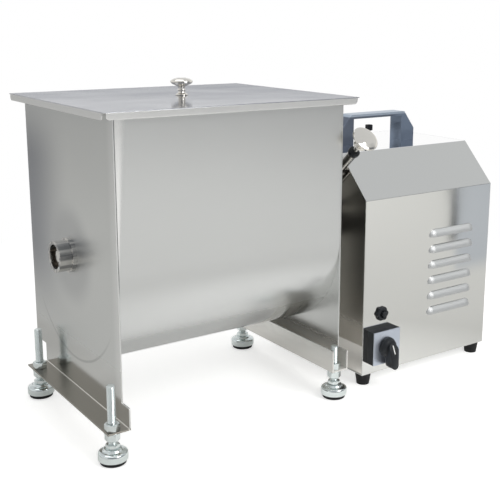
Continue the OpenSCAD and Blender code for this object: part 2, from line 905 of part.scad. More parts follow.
fast_teeth = [14, 70];
slow_teeth = [16, 72];
slow_turn = -110;
fast_turn = -115;
fast_dist = fast_m * (fast_teeth[0] + fast_teeth[1]) / 2;
slow_dist = slow_m * (slow_teeth[0] + slow_teeth[1]) / 2;
idler_y = axis_y + slow_dist * cos(slow_turn);
idler_z = axis_z + slow_dist * sin(slow_turn);
motor_y = idler_y + fast_dist * cos(fast_turn);
motor_z = idler_z + fast_dist * sin(fast_turn);
backlash = 0.12;
pressure = 20;

function turned(p, a) = [p[0] * cos(a) - p[1] * sin(a), p[0] * sin(a) + p[1] * cos(a)];

// Angle that an involute has turned through at radius r
function roll(rb, r) = sqrt(max(0, r * r / (rb * rb) - 1)) * 180 / PI;
function involute_angle(rb, r) = roll(rb, r) - atan(roll(rb, r) * PI / 180);

// Half of a tooth's angle at radius r
function half_tooth(n, m, r) = 90 / n - backlash / m / n * 180 / PI
    + involute_angle(m * n / 2 * cos(pressure), m * n / 2)
    - involute_angle(m * n / 2 * cos(pressure), r);

function flank_radii(n, m) = let (rb = m * n / 2 * cos(pressure), lo = max(rb, m * (n / 2 - 1.1)), hi = m * (n / 2 + 1))
    [for (k = [0:3]) lo + (hi - lo) * k / 3];

// One tooth, from its root on one side to its root on the other
function tooth(n, m) = let (rr = flank_radii(n, m), root = m * (n / 2 - 1.25), h = half_tooth(n, m, rr[0]))
    concat([turned([root, 0], -h)],
        [for (r = rr) turned([r, 0], -half_tooth(n, m, r))],
        [for (k = [3:-1:0]) turned([rr[k], 0], half_tooth(n, m, rr[k]))],
        [turned([root, 0], h)]);

module gear(n, m, turn, h) {
    linear_extrude(h) polygon([for (i = [0:n - 1]) each [for (p = tooth(n, m)) turned(p, turn + 360 * i / n)]]);
}

module at(y, z, x) {
    translate([x, y, z]) rotate([90, 0, 90]) children();
}

gear_x0 = hub_back_x;
case_w = 54;
case_t = 5;
gear_side = 4;
gear_between = 6;
slow_x = gear_x0 + case_t + gear_side;
slow_w = 16;
fast_x = slow_x + slow_w + gear_between;
fast_w = 10;
idler_r = 8;
idler_bearing_r = 14;
out_tail_r = 10;
out_tail_bearing_r = 16;
motor_shaft_r = 7;
motor_bearing_r = 16;
case_gap = 7;
case_small_r = 24;
case_r = [slow_m * (slow_teeth[1] / 2 + 1) + case_gap, fast_m * (fast_teeth[1] / 2 + 1) + case_gap, case_small_r];
gear_x1 = gear_x0 + case_w;
gear_lash_t = 0.2;

module case_shape(grow) {
    translate([axis_y, axis_z]) circle(r = case_r[0] + grow, $fn = 96);
    translate([idler_y, idler_z]) circle(r = case_r[1] + grow, $fn = 96);
    translate([motor_y, motor_z]) circle(r = case_r[2] + grow, $fn = 96);
}

module gearbox_housing() {
    color("slategray") home() difference() {
        along_x(gear_x0) linear_extrude(case_w) case_shape(0);
        along_x(gear_x0 + case_t) linear_extrude(case_w - 2 * case_t) case_shape(-case_t);
        at(axis_y, axis_z, gear_x0 - cut) cylinder(r = bearing_r, h = case_t + 2 * cut);
        at(axis_y, axis_z, gear_x1 - case_t - cut) cylinder(r = out_tail_bearing_r, h = case_t + 2 * cut);
        at(idler_y, idler_z, gear_x0 - cut) cylinder(r = idler_bearing_r, h = case_w + 2 * cut);
        at(motor_y, motor_z, gear_x1 - case_t - cut) cylinder(r = motor_bearing_r, h = case_t + 2 * cut);
    }
}

module gear_bearings() {
    out_bearing_w = 12;
    color("lightgray") home() {
        at(axis_y, axis_z, gear_x0 - out_bearing_w + case_t) tube(bearing_r, out_r + fit, out_bearing_w);
        at(axis_y, axis_z, gear_x1 - case_t) tube(out_tail_bearing_r, out_tail_r + fit, case_t);
        at(idler_y, idler_z, gear_x0) tube(idler_bearing_r, idler_r + fit, case_t);
        at(idler_y, idler_z, gear_x1 - case_t) tube(idler_bearing_r, idler_r + fit, case_t);
        at(motor_y, motor_z, gear_x1 - case_t) tube(motor_bearing_r, motor_shaft_r + fit, case_t);
    }
}

head_gap = 3;
head_floor = 4;

module output_shaft() {
    head_r = neck_r - head_gap;
    head_x = shaft_end + tang_play;
    head_l = tang_l + head_floor;
    color("gray") home() {
        difference() {
            at(axis_y, axis_z, head_x) cylinder(r = head_r, h = head_l);
            translate([head_x - cut, axis_y - tang_t / 2 - tang_play, axis_z - head_r - cut])
                cube([tang_l + tang_play + cut, tang_t + 2 * tang_play, 2 * head_r + 2 * cut]);
        }
        at(axis_y, axis_z, head_x + head_l) cylinder(r = out_r, h = slow_x - head_x - head_l);
        at(axis_y, axis_z, slow_x) gear(slow_teeth[1], slow_m, slow_turn, slow_w);
        at(axis_y, axis_z, slow_x + slow_w) cylinder(r = out_tail_r, h = gear_x1 - slow_x - slow_w);
    }
}

module idler_gears() {
    pinion_turn = slow_turn + 180 + 180 / slow_teeth[0];
    color("gray") home() {
        at(idler_y, idler_z, gear_x0) cylinder(r = idler_r, h = case_w);
        at(idler_y, idler_z, slow_x - gear_lash_t) gear(slow_teeth[0], slow_m, pinion_turn, slow_w + 2 * gear_lash_t);
        at(idler_y, idler_z, fast_x) gear(fast_teeth[1], fast_m, fast_turn, fast_w);
    }
}

motor_x = gear_x1;
motor_x1 = motor_x + motor_l;
shell_t = 3;
stack_l = motor_l * 0.6;
rotor_r = motor_r * 0.5;
stator_gap = 0.5;
fan_r = motor_r * 0.8;
fan_room = unit_x1 - edge_in - box_t - motor_x1;
fan_l = fan_room * 0.2;
fan_gap = fan_room * 0.066;
cradle_w = motor_r * 1.5;

module motor_shell() {
    cradle_x = [motor_x + motor_l * 0.2, motor_x + motor_l * 0.8];
    cradle_t = 8;
    stack_x = motor_x + (motor_l - stack_l) / 2;
    color("steelblue") home() {
        difference() {
            at(motor_y, motor_z, motor_x) cylinder(r = motor_r, h = motor_l, $fn = 96);
            at(motor_y, motor_z, motor_x + shell_t) cylinder(r = motor_r - shell_t, h = motor_l - 2 * shell_t, $fn = 96);
            at(motor_y, motor_z, motor_x - cut) cylinder(r = motor_shaft_r + fit, h = motor_l + 2 * cut);
        }
        at(motor_y, motor_z, stack_x) tube(motor_r - shell_t, rotor_r + stator_gap, stack_l);
        for (x = cradle_x) difference() {
            translate([x - cradle_t / 2, motor_y - cradle_w / 2, box_z0 + box_t])
                cube([cradle_t, cradle_w, motor_z - box_z0 - box_t]);
            at(motor_y, motor_z, x - cradle_t) cylinder(r = motor_r - shell_t / 2, h = 2 * cradle_t, $fn = 96);
        }
    }
}

module motor_rotor() {
    pinion_turn = fast_turn + 180 + 180 / fast_teeth[0];
    stack_x = motor_x + (motor_l - stack_l) / 2;
    blade_w = 3;
    color("gray") home() {
        at(motor_y, motor_z, fast_x + fast_w) cylinder(r = motor_shaft_r, h = motor_x1 + fan_gap + fan_l - fast_x - fast_w);
        at(motor_y, motor_z, fast_x - gear_lash_t) gear(fast_teeth[0], fast_m, pinion_turn, fast_w + gear_lash_t);
        at(motor_y, motor_z, stack_x) cylinder(r = rotor_r, h = stack_l);
        at(motor_y, motor_z, motor_x1 + fan_gap) {
            cylinder(r = fan_r, h = fan_l / 4);
            for (i = [0:7]) rotate([0, 0, 45 * i]) translate([motor_shaft_r / 2, -blade_w / 2, fan_l / 8])
                cube([fan_r - motor_shaft_r, blade_w, fan_l * 0.8]);
        }
    }
}

// The capacitor lies in the middle of the room behind the motor's cradle
cap_room = unit_y1 - box_t - motor_y - cradle_w / 2;
cap_r = cap_room * 0.3;
cap_l = 84;
cap_band_t = cap_r * 0.1;
cap_in_x = 20;
cap_y = motor_y + cradle_w / 2 + cap_room / 2;
cap_x = motor_x + cap_in_x;

module start_capacitor() {
    band_w = 14;
    seat_z = box_z0 + box_t;
    cap_z = seat_z + cap_r + cap_band_t;
    color("dimgray") home() {
        at(cap_y, cap_z, cap_x) cylinder(r = cap_r, h = cap_l);
        at(cap_y, cap_z, cap_x + (cap_l - band_w) / 2) cylinder(r = cap_r + cap_band_t, h = band_w);
        translate([cap_x + (cap_l - band_w) / 2, cap_y - cap_r, seat_z]) cube([band_w, 2 * cap_r, cap_r]);
    }
}

module cable_gland() {
    color("#1b1b1b") home() translate([gland_x, unit_y1, gland_z]) rotate([-90, 0, 0]) difference() {
        union() {
            hexagon(2 * gland_nut_r, gland_out / 3);
            cylinder(r = gland_nut_r * 0.86, h = gland_out);
            translate([0, 0, -box_t - cut]) cylinder(r = gland_hole_r, h = box_t + 2 * cut);
            translate([0, 0, -box_t - gland_in]) cylinder(r = gland_nut_r, h = gland_in);
        }
        translate([0, 0, -box_t - gland_in - cut]) cylinder(r = gland_bore_r, h = gland_in + box_t + gland_out + 2 * cut);
    }
}

left_end_plate();
right_end_plate();
trough();
left_bearing_housing();
left_bush();
left_shaft_seal();
housing_screw();
drive_neck();
right_bush();
right_shaft_seal();
neck_screws();
upper_foot_nuts();
lower_foot_nuts();
foot_stud(0);  // foot_stud_front_left
foot_stud(1);  // foot_stud_back_left
foot_stud(2);  // foot_stud_front_right
foot_stud(3);  // foot_stud_back_right
foot_cup(0);  // foot_cup_front_left
foot_cup(1);  // foot_cup_back_left
foot_cup(2);  // foot_cup_front_right
foot_cup(3);  // foot_cup_back_right
foot_pad(0);  // foot_pad_front_left
foot_pad(1);  // foot_pad_back_left
foot_pad(2);  // foot_pad_front_right
foot_pad(3);  // foot_pad_back_right
lid();
lid_knob();
lid_knob_screw();
mixing_shaft();
paddle(0);  // paddle_1
paddle(1);  // paddle_2
paddle(2);  // paddle_3
paddle(3);  // paddle_4
front_cover();
left_side_panel();
right_side_panel();
back_panel();
base_plate();
rubber_feet();
panel_screws();
handle();
filler_plug();
drive_hub();
clamp_sleeve();
clamp_rod();
clamp_collar();
clamp_knob();
switch_body();
switch_plate();
switch_lever();
reset_breaker();
reset_button();
gearbox_housing();
gear_bearings();
output_shaft();
idler_gears();
motor_rotor();
motor_shell();
start_capacitor();
cable_gland();
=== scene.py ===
# %% [markdown]
# # A stainless meat mixer
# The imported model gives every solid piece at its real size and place. This lesson dresses it:
# a camera, plain light, one material for each real finish, and finer surfaces for the small
# turned and threaded pieces that a plain solid only blocks out.

# %% Load the machine
import math

import bmesh
import bpy
import numpy as np
from mathutils import Matrix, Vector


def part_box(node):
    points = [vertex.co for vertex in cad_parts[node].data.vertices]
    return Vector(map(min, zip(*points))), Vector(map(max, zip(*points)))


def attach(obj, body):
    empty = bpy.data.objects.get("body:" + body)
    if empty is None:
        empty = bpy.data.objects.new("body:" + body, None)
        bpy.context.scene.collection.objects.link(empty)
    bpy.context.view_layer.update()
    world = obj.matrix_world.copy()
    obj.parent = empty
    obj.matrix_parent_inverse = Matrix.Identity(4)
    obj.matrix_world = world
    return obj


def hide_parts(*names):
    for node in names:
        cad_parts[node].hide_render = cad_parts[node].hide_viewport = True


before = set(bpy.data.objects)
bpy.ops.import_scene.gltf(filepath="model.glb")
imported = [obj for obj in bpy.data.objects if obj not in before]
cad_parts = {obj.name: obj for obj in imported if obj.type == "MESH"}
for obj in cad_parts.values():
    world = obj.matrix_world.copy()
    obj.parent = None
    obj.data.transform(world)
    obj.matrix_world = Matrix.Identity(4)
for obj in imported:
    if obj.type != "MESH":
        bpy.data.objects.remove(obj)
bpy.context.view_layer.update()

# %% [markdown]
# Sizes are easiest to read in millimetres from the tank's front left corner: X runs to the motor
# unit, Y runs back, Z is the height above the floor. The machine's own origin lies on the floor
# under its middle, so one small function moves a place from the first system to the second.

# %% From the tank's corner to the machine's origin
MM_PER_M = 1000.0
# The tank's length, its rim's height and the shaft's axis; then a plate's thickness and the top of
# the foot flanges; then the motor unit's left side, front and top.
TANK_L, RIM_Z, AXIS_Y, AXIS_Z = 368.0, 458.3, 153.5, 243.0
PLATE, FLANGE_TOP = 2.0, 45.5
UNIT_X, UNIT_FRONT, UNIT_TOP = 407.5, -10.7, 366.4
CORNER = np.array([321.625, 136.35, 0.0])


def place(points):
    """Turns places in millimetres from the tank's corner into metres from the origin."""
    return (np.asarray(points, float) - CORNER) / MM_PER_M


print("the tank's front left corner lies at", place([0, 0, 0]).round(4), "m")

# %% [markdown]
# The camera repeats the photograph's. Its place, turn and lens were solved from the corners of the
# lid, the tank, the feet and the motor unit, with the shift kept small. The lens and the middle of
# the view were solved in pixels, so the picture's width turns them into the camera's own units.
# A camera looks along its own minus Z, so the third column of its matrix points back from the view.

# %% The camera
def into_scene(name, data):
    """Makes an object of a mesh, a lamp or a camera and puts it into the scene."""
    made = bpy.data.objects.new(name, data)
    bpy.context.collection.objects.link(made)
    return made


def facing(side, up, back, at):
    """The matrix of an object at a place: its three directions are the columns of its turn."""
    turn = np.eye(4)
    for column, values in enumerate((side, up, back, at)):
        turn[:3, column] = values
    return Matrix(turn.tolist())


EYE = place([-465.314, -1017.348, 572.533])
YAW, PITCH, ROLL = np.radians([35.293, 12.153, 0.262])
PICTURE_PX, FOCAL_PX, MIDDLE_X_PX, MIDDLE_Y_PX = 500, 893.19, 280, 210
SENSOR_MM = 36.0
ahead = np.array([math.sin(YAW) * math.cos(PITCH), math.cos(YAW) * math.cos(PITCH), -math.sin(PITCH)])
level = np.array([math.cos(YAW), -math.sin(YAW), 0.0])
upward = np.cross(level, ahead)
right = level * math.cos(ROLL) + upward * math.sin(ROLL)
over = upward * math.cos(ROLL) - level * math.sin(ROLL)
camera = into_scene("camera", bpy.data.cameras.new("camera"))
camera.matrix_world = facing(right, over, -ahead, EYE)
camera.data.sensor_width = SENSOR_MM
camera.data.lens = FOCAL_PX / PICTURE_PX * SENSOR_MM
camera.data.shift_x = (PICTURE_PX / 2 - MIDDLE_X_PX) / PICTURE_PX
camera.data.shift_y = (MIDDLE_Y_PX - PICTURE_PX / 2) / PICTURE_PX
bpy.context.scene.camera = camera
print("lens", round(camera.data.lens, 1), "mm")

# %% [markdown]
# Materials are node trees. One function adds a node, sets its inputs and links them; another
# turns a colour as a designer writes it (sRGB hex) into the linear values that light works in.

# %% Helpers for materials
def linear(hex_colour, times=1.0):
    """sRGB hex to linear: up to 0.04045 the value over 12.92, above it the power 2.4 of the
    curve. times makes the colour lighter or darker."""
    parts = [int(hex_colour[i:i + 2], 16) / 255 for i in (1, 3, 5)]
    light = [c / 12.92 if c <= 0.04045 else ((c + 0.055) / 1.055) ** 2.4 for c in parts]
    return (*[c * times for c in light], 1.0)


def add(tree, kind, props=None, **inputs):
    """Adds one node; kind is its type without the first word, ShaderNode, and props are its
    settings. inputs are values, or sockets to link from. An input's name is its label with _ for
    a space, or in1, in2 for an input by number."""
    node = tree.nodes.new("ShaderNode" + kind)
    for name, value in (props or {}).items():
        setattr(node, name, value)
    for name, value in inputs.items():
        numbered = name.startswith("in") and name[2:].isdigit()
        socket = node.inputs[int(name[2:]) if numbered else name.replace("_", " ")]
        if isinstance(value, bpy.types.NodeSocket):
            tree.links.new(value, socket)
        else:
            socket.default_value = value
    return node


def new_material(name):
    """A material with an empty node tree; returns both."""
    made = bpy.data.materials.new(name)
    made.use_nodes = True
    made.node_tree.nodes.clear()
    return made, made.node_tree


print("a mid grey is", round(linear("#808080")[0], 3), "in linear light")

# %% [markdown]
# Every finish ends in the same way. One noise, the tone, takes the colour from a darker to a
# lighter one and the roughness from a lower to a higher one, because a rubbed place is both. The
# finest marks are too small to model, so a bump tilts the normal instead. Neither folded sheet nor
# a turned or moulded part has knife edges, so a bevel in the normal rounds them. Thin polished
# sheet is never quite flat either: slow waves, about 110 mm from one to the next, bend what it
# mirrors.

# %% How a finish ends
WAVE_APART_MM = 111.11


def coat(tree, tone, colours, roughs, relief, edge_mm, wave_mm=0.0, **surface):
    """Ends a material. A tone from 0 to 1 takes the colour and the roughness from the first to the
    second of colours and roughs. relief is (noise, strength, depth in mm), bumped over edges of
    radius edge_mm and waves of depth wave_mm. surface holds the shader's other inputs."""
    colour = add(tree, "Mix", {"data_type": "RGBA"}, in0=tone, in6=colours[0], in7=colours[1])
    span = roughs[1] - roughs[0]
    shine = add(tree, "Math", {"operation": "MULTIPLY_ADD"}, in0=tone, in1=span, in2=roughs[0])
    normal = add(tree, "Bevel", {"samples": 4}, Radius=edge_mm / MM_PER_M).outputs[0]
    if wave_mm:
        where = add(tree, "TexCoord").outputs["Object"]
        slow = add(tree, "TexNoise", Vector=where, Scale=MM_PER_M / WAVE_APART_MM, Detail=1.0, Roughness=0.4)
        normal = add(tree, "Bump", Height=slow.outputs["Fac"], Strength=1.0, Distance=wave_mm / MM_PER_M,
                     Normal=normal).outputs[0]
    noise, strength, depth_mm = relief
    normal = add(tree, "Bump", Height=noise, Strength=strength, Distance=depth_mm / MM_PER_M, Normal=normal)
    shader = add(tree, "BsdfPrincipled", Base_Color=colour.outputs[2], Roughness=shine.outputs[0],
                 Normal=normal.outputs[0], **surface)
    add(tree, "OutputMaterial", Surface=shader.outputs[0])


print("waves", round(WAVE_APART_MM), "mm apart")

# %% [markdown]
# Satin stainless sheet is cold rolled steel with a fine belt-ground grain. The grain runs one way,
# so it is noise stretched along that way: a real scratch is about 0.05 mm wide, and it is drawn
# about 0.6 mm wide to show at all. A broad, faint cloud stands for hand marks and uneven rolling.
# The folds are rounded by a millimetre and a half, and the lid's pressed edge by two.

# %% Satin stainless sheet
GRAIN_MM, GRAIN_LENGTHS, CLOUD_MM = 0.6, 90.0, 200.0


def satin_sheet(name, colour, grain, rough=0.3, cloud=0.06, edge_mm=1.5, bump=0.035, wave_mm=0.0):
    """Belt-ground stainless. grain is the axis of the scratches: X, Y or Z. The tone is 0.45, and
    a tenth of the grain, and four times the share cloud of the broad noise."""
    made, tree = new_material(name)
    where = add(tree, "TexCoord").outputs["Object"]
    across = MM_PER_M / GRAIN_MM
    along = across / GRAIN_LENGTHS
    stretch = [along if axis == grain else across for axis in "XYZ"]
    stretched = add(tree, "Mapping", Vector=where, Scale=stretch).outputs[0]
    lines = add(tree, "TexNoise", Vector=stretched, Scale=1.0, Detail=2.0, Roughness=0.6).outputs["Fac"]
    broad = add(tree, "TexNoise", Vector=where, Scale=MM_PER_M / CLOUD_MM, Detail=3.0, Roughness=0.5)
    tone = add(tree, "Math", {"operation": "MULTIPLY_ADD"}, in0=lines, in1=0.10, in2=0.45).outputs[0]
    tone = add(tree, "Math", {"operation": "MULTIPLY_ADD"}, in0=broad.outputs["Fac"], in1=cloud * 4, in2=tone)
    coat(tree, tone.outputs[0], (linear(colour, 0.9), linear(colour, 1.1)), (rough - 0.06, rough + 0.04),
         (lines, bump, 0.4), edge_mm, wave_mm, Metallic=1.0)
    return made


sheet_upright = satin_sheet("satin_stainless_grain_upright", "#D4D5D3", "Z")
sheet_end = satin_sheet("satin_stainless_welded_end", "#D4D5D3", "Z")
sheet_level = satin_sheet("satin_stainless_grain_level", "#D0D1D0", "X", rough=0.28)
sheet_lid = satin_sheet("bright_stainless_lid", "#ABADB3", "X", 0.13, 0.05, 2.0, 0.015, 0.5)
sheet_unit = satin_sheet("polished_stainless_unit_cover", "#DADAD7", "X", 0.07, 0.03, 1.5, 0.012, 0.5)
sheet_polished = satin_sheet("mirror_stainless_side", "#E2DFDA", "Z", 0.08, 0.02, 1.5, 0.004, 0.4)
# The handle's stainless is painted a dark blue-grey, a painted dark reflection of what its polish mirrors.
sheet_handle = satin_sheet("stainless_handle_dark_painted_reflection", "#6D7583", "Z", 0.30, 0.08, 1.5, 0.02)
print("seven stainless sheets")

# %% [markdown]
# Sheet that has been handled, ground or welded isn't the same all over. Such a place gets a tone of
# its own, laid over the sheet through a soft-edged mask. The mask is a product of edges, and an
# edge is a coordinate with the two places between which the new tone comes in.

# %% Masks and overlays
def patch(tree, *edges, share=1.0, soft=True):
    """A mask: the share times all its edges. An edge is (value, low, high): 0 where the value is at
    low and 1 where it is at high, eased between them or straight. low may be the larger."""
    curve = {"interpolation_type": "SMOOTHSTEP" if soft else "LINEAR"}
    for value, low, high in edges:
        edge = add(tree, "MapRange", curve, Value=value, in1=low, in2=high).outputs[0]
        share = add(tree, "Math", {"operation": "MULTIPLY"}, in0=edge, in1=share).outputs[0]
    return share


def overlay(material, mask, colour, rough=None, metal=None):
    """Lays a second colour, roughness or share of bare metal over a sheet where the mask is 1."""
    tree = material.node_tree
    shader = next(n for n in tree.nodes if n.type == "BSDF_PRINCIPLED")
    under = shader.inputs["Base Color"].links[0].from_socket
    mix = add(tree, "Mix", {"data_type": "RGBA"}, in0=mask, in6=under, in7=linear(colour))
    tree.links.new(mix.outputs[2], shader.inputs["Base Color"])
    if rough is not None:
        under = shader.inputs["Roughness"].links[0].from_socket
        mix = add(tree, "Mix", {"data_type": "FLOAT"}, in0=mask, in2=under, in3=rough)
        tree.links.new(mix.outputs[0], shader.inputs["Roughness"])
    if metal is not None:
        mix = add(tree, "Mix", {"data_type": "FLOAT"}, in0=mask, in2=1.0, in3=metal)
        tree.links.new(mix.outputs[0], shader.inputs["Metallic"])


print("helpers for masks and overlays")

# %% [markdown]
# A mask asks where a point lies on the machine. A mesh gives its own coordinates, in metres from
# the machine's origin, and they are turned back into millimetres from the tank's corner, because
# the places are easiest to read there.

# %% A tone for one place
def tank_point(tree):
    """A socket for the place in millimetres from the tank's front left corner."""
    metres = add(tree, "TexCoord").outputs["Object"]
    scale = (MM_PER_M, MM_PER_M, MM_PER_M)
    shifted = add(tree, "VectorMath", {"operation": "MULTIPLY_ADD"}, in0=metres, in1=scale, in2=tuple(CORNER))
    return shifted.outputs[0]


def tank_axes(tree):
    """The same place as one socket each for x, y and z."""
    parts = add(tree, "SeparateXYZ", Vector=tank_point(tree)).outputs
    return dict(zip("xyz", parts))


def tone_place(sheet, edges, colour, rough=None, share=1.0, metal=None):
    """Tones one place of a sheet. Each edge is (x, y or z, low, high), in millimetres."""
    tree = sheet.node_tree
    at = tank_axes(tree)
    mask = patch(tree, *[(at[axis], low, high) for axis, low, high in edges], share=share)
    overlay(sheet, mask, colour, rough, metal)


def from_shaft(tree, straight_above=False):
    """A socket for the distance from the shaft's axis: the length of (0, y, z) from there. With
    straight_above a height above the axis counts as none, as on the trough's outline, whose walls
    go straight up; no place is further back from the axis than TANK_L."""
    steps = [("MULTIPLY", (0, 1, 1)), ("SUBTRACT", (0, AXIS_Y, AXIS_Z))]
    if straight_above:
        steps.append(("MINIMUM", (0, TANK_L, 0)))
    away = tank_point(tree)
    for operation, values in steps:
        away = add(tree, "VectorMath", {"operation": operation}, in0=away, in1=values).outputs[0]
    return add(tree, "VectorMath", {"operation": "LENGTH"}, in0=away).outputs["Value"]


print("helpers for toned places")

# %% [markdown]
# The left plate's foot and the trough's lowest part are still polished: they mirror the flange and
# the floor below them. Two traces of welding show on the tank. The trough's outline, welded to the
# end plate from inside, has drawn a faint arc through to the outside. And the trough's corner by
# the left end plate is ground smoother in a band that is 16 mm wide at the rim and runs out half
# way down, with a dark groove along the plate; the band is also painted near white, a painted
# highlight of the sheet that the weld has warped.

# %% Weld traces
WELD_R, BAND_BOTTOM, BAND_TOP, BAND_WIDTH = 153.5, 240.0, 458.0, 16.0
tone_place(sheet_end, [("z", 125, 95)], "#CDCDCA", 0.12)
tree = sheet_end.node_tree
radius = from_shaft(tree, straight_above=True)
strength = patch(tree, (tank_axes(tree)["z"], 160, 100), share=0.6, soft=False)
arc = patch(tree, (radius, WELD_R - 2.8, WELD_R - 0.6), (radius, WELD_R + 2.8, WELD_R + 0.6), share=strength)
overlay(sheet_end, arc, "#A0A19F")
tone_place(sheet_level, [("z", 150, 122)], "#CFD0CF", 0.10)
tree = sheet_level.node_tree
at = tank_axes(tree)
wide = add(tree, "MapRange", Value=at["z"], in1=BAND_BOTTOM, in2=BAND_TOP, in3=0.5, in4=BAND_WIDTH).outputs[0]
inside = add(tree, "Math", {"operation": "SUBTRACT"}, in0=at["x"], in1=PLATE).outputs[0]
part = add(tree, "Math", {"operation": "DIVIDE"}, in0=inside, in1=wide).outputs[0]
# Painted highlight: the band is painted near white as well as smoother.
overlay(sheet_level, patch(tree, (part, 1.1, 0.4), share=0.85), "#F4F4F3", 0.2)
tone_place(sheet_level, [("x", 3.4, 2.2)], "#55565A", share=0.95)
print("two weld traces, the arc", WELD_R, "mm from the shaft")

# %% [markdown]
# A few more places of the sheets have a tone of their own. All of them are painted light and shade,
# and some are rougher too. The left plate is painted darker round the middle of its rear half, a
# painted shade; its rounded front edge is painted bright, a painted highlight; its foot flange is
# rougher, a little brown and painted darker, a painted reflection of the dark underside that it
# mirrors; the fold above the flange is painted bright too, a painted highlight; and the sheet round
# the bearing is rougher and painted darker, a painted shade round the boss. The right plate's low
# inner part is painted lighter and less metallic, a painted light where the tank shades it. The
# lid's turned down lips, the handle's right post and top edge and the motor unit's top edge are
# painted brighter than the faces by them, painted highlights. Pressing the louvres has taken the
# polish off their hoods, which are also painted a little darker, a painted shade. A row of the table
# is the sheet, the edges and the colour, and where they differ from the sheet's own or from 1, the
# roughness, the share and the share of bare metal.

# %% Painted shade, painted highlights and rougher places
FOLD_TOP = FLANGE_TOP + PLATE
POST_X = 590.0
toned = [
    # Painted shade: the left plate is painted darker round the middle of its rear half.
    (sheet_end, [("y", 140, 300), ("z", 100, 240), ("z", 470, 360)], "#989A9F"),
    # Painted highlight: the left plate's rounded front edge is painted bright.
    (sheet_end, [("y", 22, 3)], "#F0F0EF", None, 0.4),
    # Painted reflection of the dark underside: the foot flange is painted darker, and is rougher and a little
    # brown.
    (sheet_end, [("z", FOLD_TOP, FOLD_TOP - 1.3)], "#938E84", 0.36, 0.9),
    # Painted highlight: the bend above the flange is painted bright.
    (sheet_end, [("x", -1.2, -0.6), ("x", 1.0, 0.4), ("z", FOLD_TOP + 0.1, FOLD_TOP - 0.9)], "#E6E4DF", 0.3),
    # Painted light: the right plate's low inner part is painted lighter and less metallic, where the tank
    # shades it.
    (sheet_upright, [("z", 105, 50), ("x", TANK_L + 4.5, TANK_L + 2.5)], "#F1EFEA", 0.22, 1.0, 0.4),
    # Painted highlight: the lid's turned down lips are painted near white.
    (sheet_lid, [("z", RIM_Z + 0.8, RIM_Z)], "#F3F3F2", 0.22),
    # Painted highlights: the handle's right post and its top edge are painted brighter.
    (sheet_handle, [("x", POST_X - 25, POST_X)], "#8F9DB1", None, 0.75),
    (sheet_handle, [("z", 411.8, 413.6)], "#BCC8D6"),
    # Painted highlight: the motor unit's top edge is painted nearly white.
    (sheet_unit, [("z", UNIT_TOP - 0.5, UNIT_TOP - 0.1)], "#FDFDFD", 0.04),
    # The louvres' hoods are rougher, and painted a little darker, a painted shade.
    (sheet_unit, [("y", UNIT_FRONT - 0.1, UNIT_FRONT - 1.1)], "#CDCECD", 0.52),
]
for row in toned:
    tone_place(*row)
# Painted shade: the sheet round the bearing is painted darker round the boss, and is rougher.
boss_shade = patch(sheet_end.node_tree, (from_shaft(sheet_end.node_tree), 85, 45), share=0.7)
overlay(sheet_end, boss_shade, "#BFC0C0", 0.48)
print(len(toned) + 1, "places toned")

# %% [markdown]
# The rest of the metals: turned stainless is bright and nearly smooth, zinc plate is bluish and a
# little uneven, chrome is almost a mirror, a sintered bronze bush is dark with the oil in it, and
# castings are grainy. Two noises are enough for them all: one for the grit, and one for patches
# about 17 mm across.

# %% Turned, plated and cast metals
PART_EDGE_MM, METAL_PATCH_MM = 0.6, 16.667


def two_noises(tree, *sizes):
    """Noises over the object, one for each (mm from one mark to the next, detail)."""
    where = add(tree, "TexCoord").outputs["Object"]
    made = [add(tree, "TexNoise", Vector=where, Scale=MM_PER_M / mm, Detail=detail) for mm, detail in sizes]
    return [node.outputs["Fac"] for node in made]


def plain_metal(name, colour, rough, grit_mm, patchy, bump):
    """A metal whose relief is its grit. Its patches are darker by up to twice the share patchy."""
    made, tree = new_material(name)
    grit, broad = two_noises(tree, (grit_mm, 3.0), (METAL_PATCH_MM, 2.0))
    coat(tree, broad, (linear(colour, 1 - 2 * patchy), linear(colour)), (rough - 0.06, rough + 0.06),
         (grit, bump, 0.3), PART_EDGE_MM, Metallic=1.0)
    return made


turned_steel = plain_metal("turned_stainless", "#DAD8D3", 0.13, 0.8, 0.05, 0.02)
boss_steel = plain_metal("turned_stainless_boss", "#D2D0CC", 0.16, 0.8, 0.05, 0.02)
zinc_plate = plain_metal("blue_zinc_plated_steel", "#E6EDEC", 0.17, 1.2, 0.08, 0.04)
chrome = plain_metal("chrome_plate", "#ECE8E0", 0.08, 2.0, 0.03, 0.01)
cast_steel = plain_metal("cast_stainless_paddles", "#BDBCB9", 0.42, 1.5, 0.08, 0.25)
bronze = plain_metal("oiled_sintered_bronze", "#6A5F52", 0.45, 1.0, 0.12, 0.08)
gear_steel = plain_metal("hobbed_gear_steel", "#A9A9AC", 0.3, 0.8, 0.08, 0.05)
cast_iron = plain_metal("grey_cast_iron", "#77797C", 0.55, 1.6, 0.12, 0.5)
satin_aluminium = plain_metal("satin_aluminium", "#CBD2DE", 0.36, 0.7, 0.04, 0.03)
# A polished round boss mirrors the room in narrow streaks along it: noise that is long in X and
# 9 mm wide across it stands for them.
STREAK_LONG_MM, STREAK_MM = 333.3, 9.091
tree = boss_steel.node_tree
where = add(tree, "TexCoord").outputs["Object"]
stretch = [MM_PER_M / mm for mm in (STREAK_LONG_MM, STREAK_MM, STREAK_MM)]
stretched = add(tree, "Mapping", Vector=where, Scale=stretch).outputs[0]
streak = add(tree, "TexNoise", Vector=stretched, Scale=1.0, Detail=2.0, Roughness=0.6).outputs["Fac"]
overlay(boss_steel, patch(tree, (streak, 0.46, 0.60), share=0.8), "#6F7174")
print("nine solid metals")

# %% [markdown]
# Plastics, rubber and paint are not metals: their colour is their own, and a clear, weak
# reflection lies over it. Moulded parts have a fine spark-eroded texture, which is the grit again,
# and they are lighter where they are rubbed, in patches about 22 mm across.

